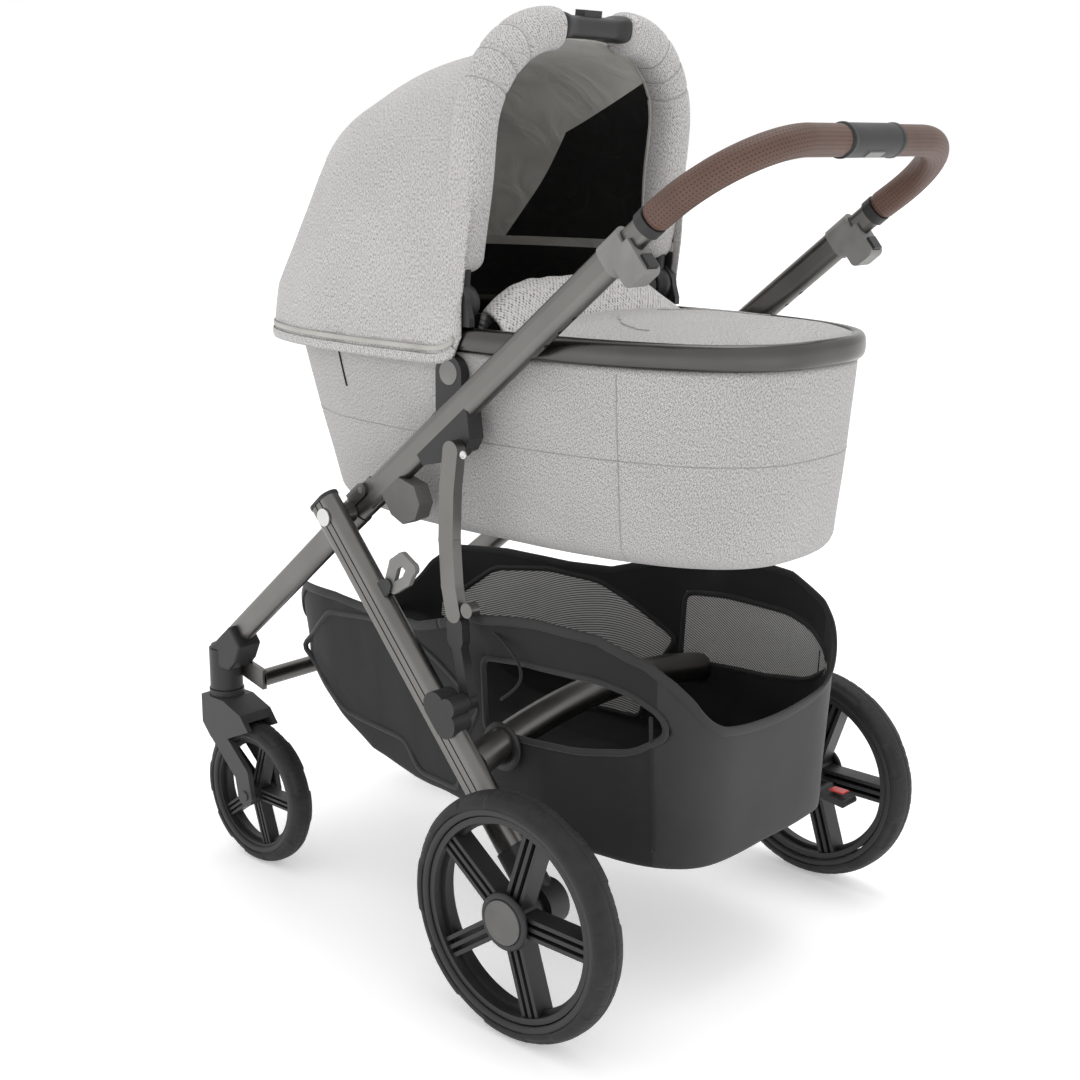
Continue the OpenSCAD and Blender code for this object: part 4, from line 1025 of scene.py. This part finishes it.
class STROLLER_OT_basket(bpy.types.Operator):
    """Sews the under basket: black cloth, ribbed mesh windows, bound openings, loops and tag"""

    bl_idname = "stroller.basket"
    bl_label = "Under basket"

    def execute(self, context):
        grid = basket_grid(BASKET_ROWS, BASKET_COLUMNS)
        wave = wrinkles(grid[..., 0] * 0.7 + grid[..., 1], grid[..., 2] * 0.5, 12, 2.4)
        out = (grid - (0, grid[0, :, 1].mean(), 0)) * (1, 0.3, 0)
        out /= np.maximum(np.linalg.norm(out, axis=2), 1e-6)[..., None]
        wallness = smoothstep(np.linspace(0, 1, BASKET_ROWS), 0.4, 0.6)[:, None]
        grid = grid + out * ((wave * 0.0012 - 0.002) * wallness)[..., None]
        grid[..., 2] += wave * 0.0024 * (1 - wallness)
        centre = (grid[:-1] + grid[1:]) / 2
        centre = (centre + np.roll(centre, -1, 1)) / 2
        side = np.abs(centre[..., 0]) > SIDE_FROM
        opening = inside(SIDE_OPENING, centre[..., 1], centre[..., 2]) & side
        mesh = inside(MESH_WINDOW, centre[..., 1], centre[..., 2]) & side
        keep = np.ones(grid.shape[:2], bool)
        keep[:-1] = ~(opening & (centre[..., 0] > 0))
        cloth = surface("basket", grid, finish("Black ripstop"), (False, True), keep=keep)
        cloth.data.materials.append(finish("Basket mesh"))
        cloth.data.materials.append(finish("Black panel"))
        panel = (centre[..., 1] > CORNER_Y) & (np.abs(centre[..., 0]) < 0.172) & (centre[..., 2] > 0.18)
        kind = np.where((mesh | opening) & (centre[..., 0] < 0), 1, np.where(panel, 2, 0))
        cloth.data.polygons.foreach_set("material_index", kind[keep[:-1]].ravel().astype(np.int32))
        wall(cloth, 0.0016)
        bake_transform(cloth)
        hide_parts("basket_rear", "basket_front")

        def bead(name, line, radius=0.0026, material="Black ripstop", flat=0.7):
            """A flattened bead of cloth along the line."""
            obj = cord_along(name, line, radius, finish(material), (1, 0, 0.001), 10, flat)
            fix_normals(obj)
            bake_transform(obj)

        hem = np.concatenate([grid[-1], grid[-1, :1]])
        section = profile(0.0022, 0.0062, 12, 2.6)
        outward = np.stack([np.r_[out[-1, :, k], out[-1, 0, k]] for k in range(3)], -1)
        edge = tube("basket_hem", hem - (0, 0, 0.003), section, outward, finish("Black panel"))
        fix_normals(edge, True)
        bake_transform(edge)

        flat = grid.reshape(-1, 3)
        for side, word in SIDES:
            mine = flat[(np.sign(flat[:, 0]) == side) & (np.abs(flat[:, 0]) > SIDE_FROM)]
            for polygon, label in ((MESH_WINDOW, "window"), (SIDE_OPENING, "opening")):
                half_way = polygon[-1:] * 0.5 + polygon[:1] * 0.5
                line = rounded(np.vstack([half_way, polygon, half_way]), 150, 0.014)
                near = np.argmin(np.hypot(line[:, :1] - mine[:, 1], line[:, 1:] - mine[:, 2]), 1)
                x = mine[near, 0]
                x = np.convolve(np.r_[x[-5:], x, x[:5]], np.ones(11) / 11, "valid") - side * 0.0006
                bead(f"basket_{label}_{word}", np.column_stack([x, line]), 0.0042, "Black panel", 0.8)
            column = []
            for row in grid[38:72]:
                half = row[row[:, 0] * side > 0.12]
                half = half[np.argsort(half[:, 1])]
                column.append([np.interp(CORNER_Y, half[:, 1], half[:, k]) for k in range(3)])
            bead(f"basket_corner_{word}", evenly(np.array(column), 50))
            loop_t = np.linspace(0, 1, 40)
            y = AXLE[1] - 0.130 + 0.018 * loop_t + 0.045 * np.sin(math.pi * loop_t)
            z = 0.440 - 0.088 * loop_t
            x = side * (np.interp(z, (0.3, 0.45), (0.207, 0.213)) + 0.004 * np.sin(math.pi * loop_t))
            path = np.column_stack([x, y, z])
            loop = cord_along(f"elastic_{word}", path, 0.0018, finish("Black ripstop"), (1, 0, 0), 8)
            fix_normals(loop)
            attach(loop, "rear_frame")
            outline = ((0.1985, 0.019), (0.1985, 0.0285), (0.201, 0.0305), (0.2035, 0.0285), (0.2035, 0.019))
            grommet = lathe(f"axle_grommet_{word}", [(side * a, r) for a, r in outline],
                            (0, AXLE[1] - 0.118, 0.289), finish("Black plastic"), 48, True)
            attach(grommet, "rear_frame")
        tag_y, tag_z = AXLE[1] - 0.017, 0.396
        tag = block("basket_tag", [(tag_y - 0.022, tag_z - 0.010), (tag_y + 0.022, tag_z - 0.016),
                                   (tag_y + 0.022, tag_z + 0.006), (tag_y - 0.022, tag_z + 0.012)],
                    -0.2030, -0.2004, finish("Tag leather"), 0.0006)
        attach(tag, "rear_frame")
        return {"FINISHED"}


# ---- Handle ----

LOOP_REACH, LOOP_CORNER = 0.131, 0.108
LOOP_END = (box("handle_grip")[1] - 0.017) * (0, 1, 1)
SLEEVE_HALF = 0.0505


def handle_line(count):
    """The middle of the handle's loop from one grip end to the other, in its own tilted plane."""
    start = LOOP_END - LOOP_ALONG * LOOP_REACH
    arc = np.linspace(0, math.pi / 2, 60)
    flat = np.concatenate([
        [(TUBE_X, 0.0)],
        np.stack([TUBE_X - LOOP_CORNER + LOOP_CORNER * np.cos(arc),
                  LOOP_REACH - LOOP_CORNER + LOOP_CORNER * np.sin(arc)], -1),
    ])
    flat = np.concatenate([flat, flat[::-1] * (-1, 1)])
    flat = evenly(flat, count)
    return start * (0, 1, 1) + flat[:, :1] * np.array((1.0, 0, 0)) + flat[:, 1:] * LOOP_ALONG


class STROLLER_OT_handle(bpy.types.Operator):
    """Wraps the leather grips and moulds the sleeve between them"""

    bl_idname = "stroller.handle"
    bl_label = "Handle"

    def execute(self, context):
        line = handle_line(601)
        for side, word in SIDES:
            path = line[line[:, 0] * side > SLEEVE_HALF]
            path = path if side > 0 else path[::-1]
            s = np.linspace(0, 1, len(path))
            ends = np.minimum(1, 0.90 + 0.10 * smoothstep(s, 0, 0.02)) * np.minimum(
                1, 0.93 + 0.07 * smoothstep(1 - s, 0, 0.015))
            turn = np.arange(64) * 2 * math.pi / 64
            crease = 1 - 0.045 * np.exp(-(((turn - math.pi * 1.5) / 0.09) ** 2))
            section = np.stack([np.cos(turn), np.sin(turn)], -1) * (0.0168 * crease)[:, None]
            grip = tube(f"grip_{word}", path, section[None] * ends[:, None, None],
                        np.cross(np.gradient(path, axis=0), LOOP_UP), finish("Grip leather"))
            fix_normals(grip)
            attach(grip, "handlebar")
            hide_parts("handle_grip")
        sleeve = cross_sleeve("grip_centre", SLEEVE_HALF, 61, LOOP_END, profile(0.0172, 0.0172, 64, 2.2),
                              (0.05, 0.044, 0.047), LOOP_UP)
        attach(sleeve, "handlebar")
        return {"FINISHED"}


# ---- Wheels ----

# How far out the rear hub caps' outer faces stand.
CAP_X = 0.3252


def tyre_surface(name, node_name, blocks, material):
    """A tyre turned about its wheel's axle: round tread with a middle groove, fine cuts across it, and
    shallow blocks on each shoulder."""
    low, high = box(node_name)
    centre, half = (low + high) / 2, (high[0] - low[0]) / 2
    radius = (high[2] - low[2]) / 2
    inner = radius * (0.895 if radius > 0.12 else 0.86)
    turn = np.linspace(0, 2 * math.pi, 721)[:-1]
    around = np.linspace(0, 1, 49)
    lean = (around - 0.5) * 2 * 2.35
    round_part = np.clip(lean, -math.pi / 2, math.pi / 2)
    past = np.abs(lean) - math.pi / 2
    x = np.where(past > 0, np.sign(lean) * half * (1 - 0.25 * past / 0.78), half * np.sin(round_part) * 0.985)
    r = inner + (radius - inner) * np.clip(np.cos(round_part), 0, 1) ** 0.75
    r = np.where(past > 0, inner - 0.002 * past, r)
    gap = 1 - smoothstep(np.cos(turn * blocks), -0.35, -0.15)[:, None]
    shoulder = np.exp(-(((np.abs(x) - half * 0.82) / (half * 0.16)) ** 2))[None]
    groove = np.exp(-((x / (half * 0.07)) ** 2))[None]
    out = np.abs(x) / half
    sipes = smoothstep(np.cos(turn * blocks * 8), 0.7, 0.9)[:, None] * smoothstep(out, 0.15, 0.3)[None]
    sipes = sipes * (1 - smoothstep(out, 0.62, 0.75))[None]
    r = r[None] - 0.0016 * gap * shoulder - 0.0012 * groove - 0.0005 * sipes
    x = x[None] - np.sign(x)[None] * 0.0012 * gap * shoulder
    points = np.stack([centre[0] + x + 0 * r, centre[1] + r * np.cos(turn)[:, None],
                       centre[2] + r * np.sin(turn)[:, None]], -1)
    tyre = surface(name, points, material, (True, False))
    fix_normals(tyre)
    return tyre, centre, radius, half


class STROLLER_OT_wheels(bpy.types.Operator):
    """Moulds the tyres' treads, the rims' rings and the hub caps"""

    bl_idname = "stroller.wheels"
    bl_label = "Wheels"

    def execute(self, context):
        blocks = context.scene.stroller_sizes.tread_blocks
        for place in ("rear", "front"):
            for side, word in SIDES:
                body = f"{place}_wheel_{word}"
                tyre, centre, radius, half = tyre_surface(f"{place}_tread_{word}", f"{place}_tyre_{word}",
                                                          blocks, finish("Tyre rubber"))
                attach(tyre, body)
                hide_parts(f"{place}_tyre_{word}")
                seat = radius * (0.893 if place == "rear" else 0.858)
                for face in (1, -1):
                    x = centre[0] + face * (half - 0.0045)
                    outline = ((-0.004, -0.009), (0.0018, -0.0088), (0.0032, -0.006), (0.0034, -0.0025),
                               (0.002, 0.001), (-0.004, 0.001))
                    ring = lathe(f"{place}_ring_{word}_{'out' if face == side else 'in'}",
                                 [(x + face * a, seat + b) for a, b in outline], (0, centre[1], centre[2]),
                                 finish("Black plastic"), 144, True)
                    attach(ring, body)
                rim = frame["nodes"][f"{place}_rim_{word}"]
                if not any(m.type == "BEVEL" for m in rim.modifiers):
                    rounded_edges(rim, 0.0009)
                if place == "rear":
                    outline = ((-0.004, 0.0255), (-0.004, 0.034), (-0.001, 0.034), (0.0012, 0.0315),
                               (0.0016, 0.0275), (0, 0.0255))
                    shroud = lathe(f"rear_shroud_{word}", [(side * (CAP_X + a), r) for a, r in outline],
                                   (0, centre[1], centre[2]), finish("Black plastic"), 96, True)
                    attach(shroud, body)
                    outline = ((-0.001, 0.026), (0.0012, 0.0255), (0.0022, 0.0225), (0.0016, 0.020),
                               (0.0021, 0.0188), (0.0027, 0.001))
                    disc = lathe(f"rear_disc_{word}", [(side * (CAP_X + a), r) for a, r in outline],
                                 (0, centre[1], centre[2]), finish("Grey plastic"), 96)
                    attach(disc, body)
        return {"FINISHED"}


# ---- Frame details ----


class STROLLER_OT_frame_details(bpy.types.Operator):
    """Rounds the frame's edges and adds its leg shoes, screws and brake mark"""

    bl_idname = "stroller.frame_details"
    bl_label = "Frame details"

    def execute(self, context):
        softened = (
            "rear_leg_left", "rear_leg_right", "rear_leg_caps", "wheel_mounts", "strut_brackets", "knuckles",
            "frame_lock_hook", "brake_pedal", "front_leg_left", "front_leg_right", "front_cross_tube",
            "caster_sockets", "caster_fork_left", "caster_fork_right", "accessory_sockets", "seat_mounts",
            "handle_collars", "side_strut_left", "side_strut_right", "strut_link_left", "strut_link_right",
            "fold_trigger_left", "fold_trigger_right", "hub_plates", "seat_adapters", "release_left",
            "release_right", "hub_button_left", "hub_button_right", "carry_button", "extend_button",
            "rear_axle_tube")
        for name in softened:
            rounded_edges(frame["nodes"][name], 0.0012)
        mark_low, mark_high = box("brake_pedal")
        y0, y1 = mark_low[1] + 0.024, mark_high[1] - 0.008
        top = mark_high[2]
        outline = ((y0, top - 0.001), (y1, top - 0.001), (y1, top + 0.0008), (y0, top + 0.0008))
        mark = block("brake_mark", outline, mark_low[0] + 0.007, mark_high[0] - 0.007, finish("Brake red"),
                     0.0003)
        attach(mark, "brake")
        for side, word in SIDES:
            ends = sorted((side * 0.1815, side * 0.2205))
            outline = ((-0.3837, 0.3414), (-0.418, 0.312), (-0.430, 0.302), (-0.430, 0.276), (-0.388, 0.276),
                       (-0.374, 0.290), (-0.3622, 0.315))
            shoe = block(f"leg_shoe_{word}", outline, ends[0], ends[1], finish("Black plastic"), 0.003)
            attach(shoe, "front_frame")
            for name, place, radius, body in (
                    ("strut_screw", (0.2445, 0.0912, 0.6445), 0.0052, f"strut_{word}"),
                    ("caster_bolt", (0.2185, -0.3541, 0.1015), 0.0058, f"front_wheel_{word}")):
                outline = ((-0.001, 1), (0.0008, 0.96), (0.0014, 0.7), (0.0008, 0.5), (0.0008, 0.05))
                head = lathe(f"{name}_{word}", [(side * (place[0] + a), radius * r) for a, r in outline],
                             (0, place[1], place[2]), finish("Steel"), 40)
                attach(head, body)
        return {"FINISHED"}


# ---- Stage ----


class STROLLER_OT_stage(bpy.types.Operator):
    """Sets the pale floor, the soft light and the camera"""

    bl_idname = "stroller.stage"
    bl_label = "Floor, light and camera"

    def execute(self, context):
        scene = context.scene
        floor = bpy.data.meshes.new("floor")
        floor.from_pydata([(-90, -90, 0), (90, -90, 0), (90, 90, 0), (-90, 90, 0)], [], [(0, 1, 2, 3)])
        _, shader = start("Paper", 0.85)
        shader.inputs["Base Color"].default_value = (0.93, 0.93, 0.93, 1)
        shader.inputs["Emission Color"].default_value = (1, 1, 1, 1)
        shader.inputs["Emission Strength"].default_value = 0.32
        floor.materials.append(finish("Paper"))
        ground = bpy.data.objects.new("floor", floor)
        scene.collection.objects.link(ground)
        world = bpy.data.worlds.new("Studio")
        scene.world = world
        world.use_nodes = True
        world.node_tree.nodes["Background"].inputs[0].default_value = (1, 1, 1, 1)
        world.node_tree.nodes["Background"].inputs[1].default_value = 1.0
        lamps = (("key", (3.2, -0.6, 3.4), 2.4, 80), ("fill", (0.6, 3.4, 2.6), 2.6, 50),
                 ("top", (-0.8, 0.2, 3.8), 2.0, 30))
        for name, place, size, power in lamps:
            data = bpy.data.lights.new(name, "AREA")
            data.size, data.energy = size, power
            lamp = bpy.data.objects.new(name, data)
            lamp.location = place
            aim = -np.array(place) + (0, 0, 0.5)
            lamp.rotation_euler = (math.acos(aim[2] / np.linalg.norm(aim)) - math.pi, 0,
                                   math.atan2(aim[1], aim[0]) - math.pi / 2)
            scene.collection.objects.link(lamp)
        data = bpy.data.cameras.new("camera")
        data.lens, data.sensor_width = 54.57, 36
        data.shift_x, data.shift_y = 0.0536, 0.0267
        camera = bpy.data.objects.new("camera", data)
        camera.location = (1.5465, 1.35931, 0.9821)
        camera.rotation_euler = (math.radians(75.5), 0, math.radians(133.57))
        scene.collection.objects.link(camera)
        scene.camera = camera
        scene.view_settings.view_transform = "Standard"
        return {"FINISHED"}


class STROLLER_PT_panel(bpy.types.Panel):
    """Lists the stroller's colours, sizes and operators"""

    bl_idname = "STROLLER_PT_panel"
    bl_label = "Stroller"
    bl_space_type = "VIEW_3D"
    bl_region_type = "UI"
    bl_category = "Stroller"

    def draw(self, context):
        for group in (context.scene.stroller_sizes, context.scene.stroller_colours):
            for name in group.__annotations__:
                self.layout.prop(group, name)
        for operator in OPERATORS:
            self.layout.operator(operator.bl_idname)


OPERATORS = (
    STROLLER_OT_finishes, STROLLER_OT_hood, STROLLER_OT_bow, STROLLER_OT_bassinet, STROLLER_OT_bedding,
    STROLLER_OT_basket, STROLLER_OT_handle, STROLLER_OT_wheels, STROLLER_OT_frame_details, STROLLER_OT_stage)


def register():
    """Adds the classes to Blender."""
    for item in (StrollerSizes, StrollerColours, *OPERATORS, STROLLER_PT_panel):
        bpy.utils.register_class(item)
    bpy.types.Scene.stroller_sizes = bpy.props.PointerProperty(type=StrollerSizes)
    bpy.types.Scene.stroller_colours = bpy.props.PointerProperty(type=StrollerColours)


def unregister():
    """Takes the classes out again."""
    del bpy.types.Scene.stroller_sizes
    del bpy.types.Scene.stroller_colours
    for item in (STROLLER_PT_panel, *reversed(OPERATORS), StrollerColours, StrollerSizes):
        bpy.utils.unregister_class(item)


def main():
    """Runs every operator in order."""
    register()
    for operator in OPERATORS:
        group, name = operator.bl_idname.split(".")
        getattr(getattr(bpy.ops, group), name)()


if __name__ == "__main__":
    main()
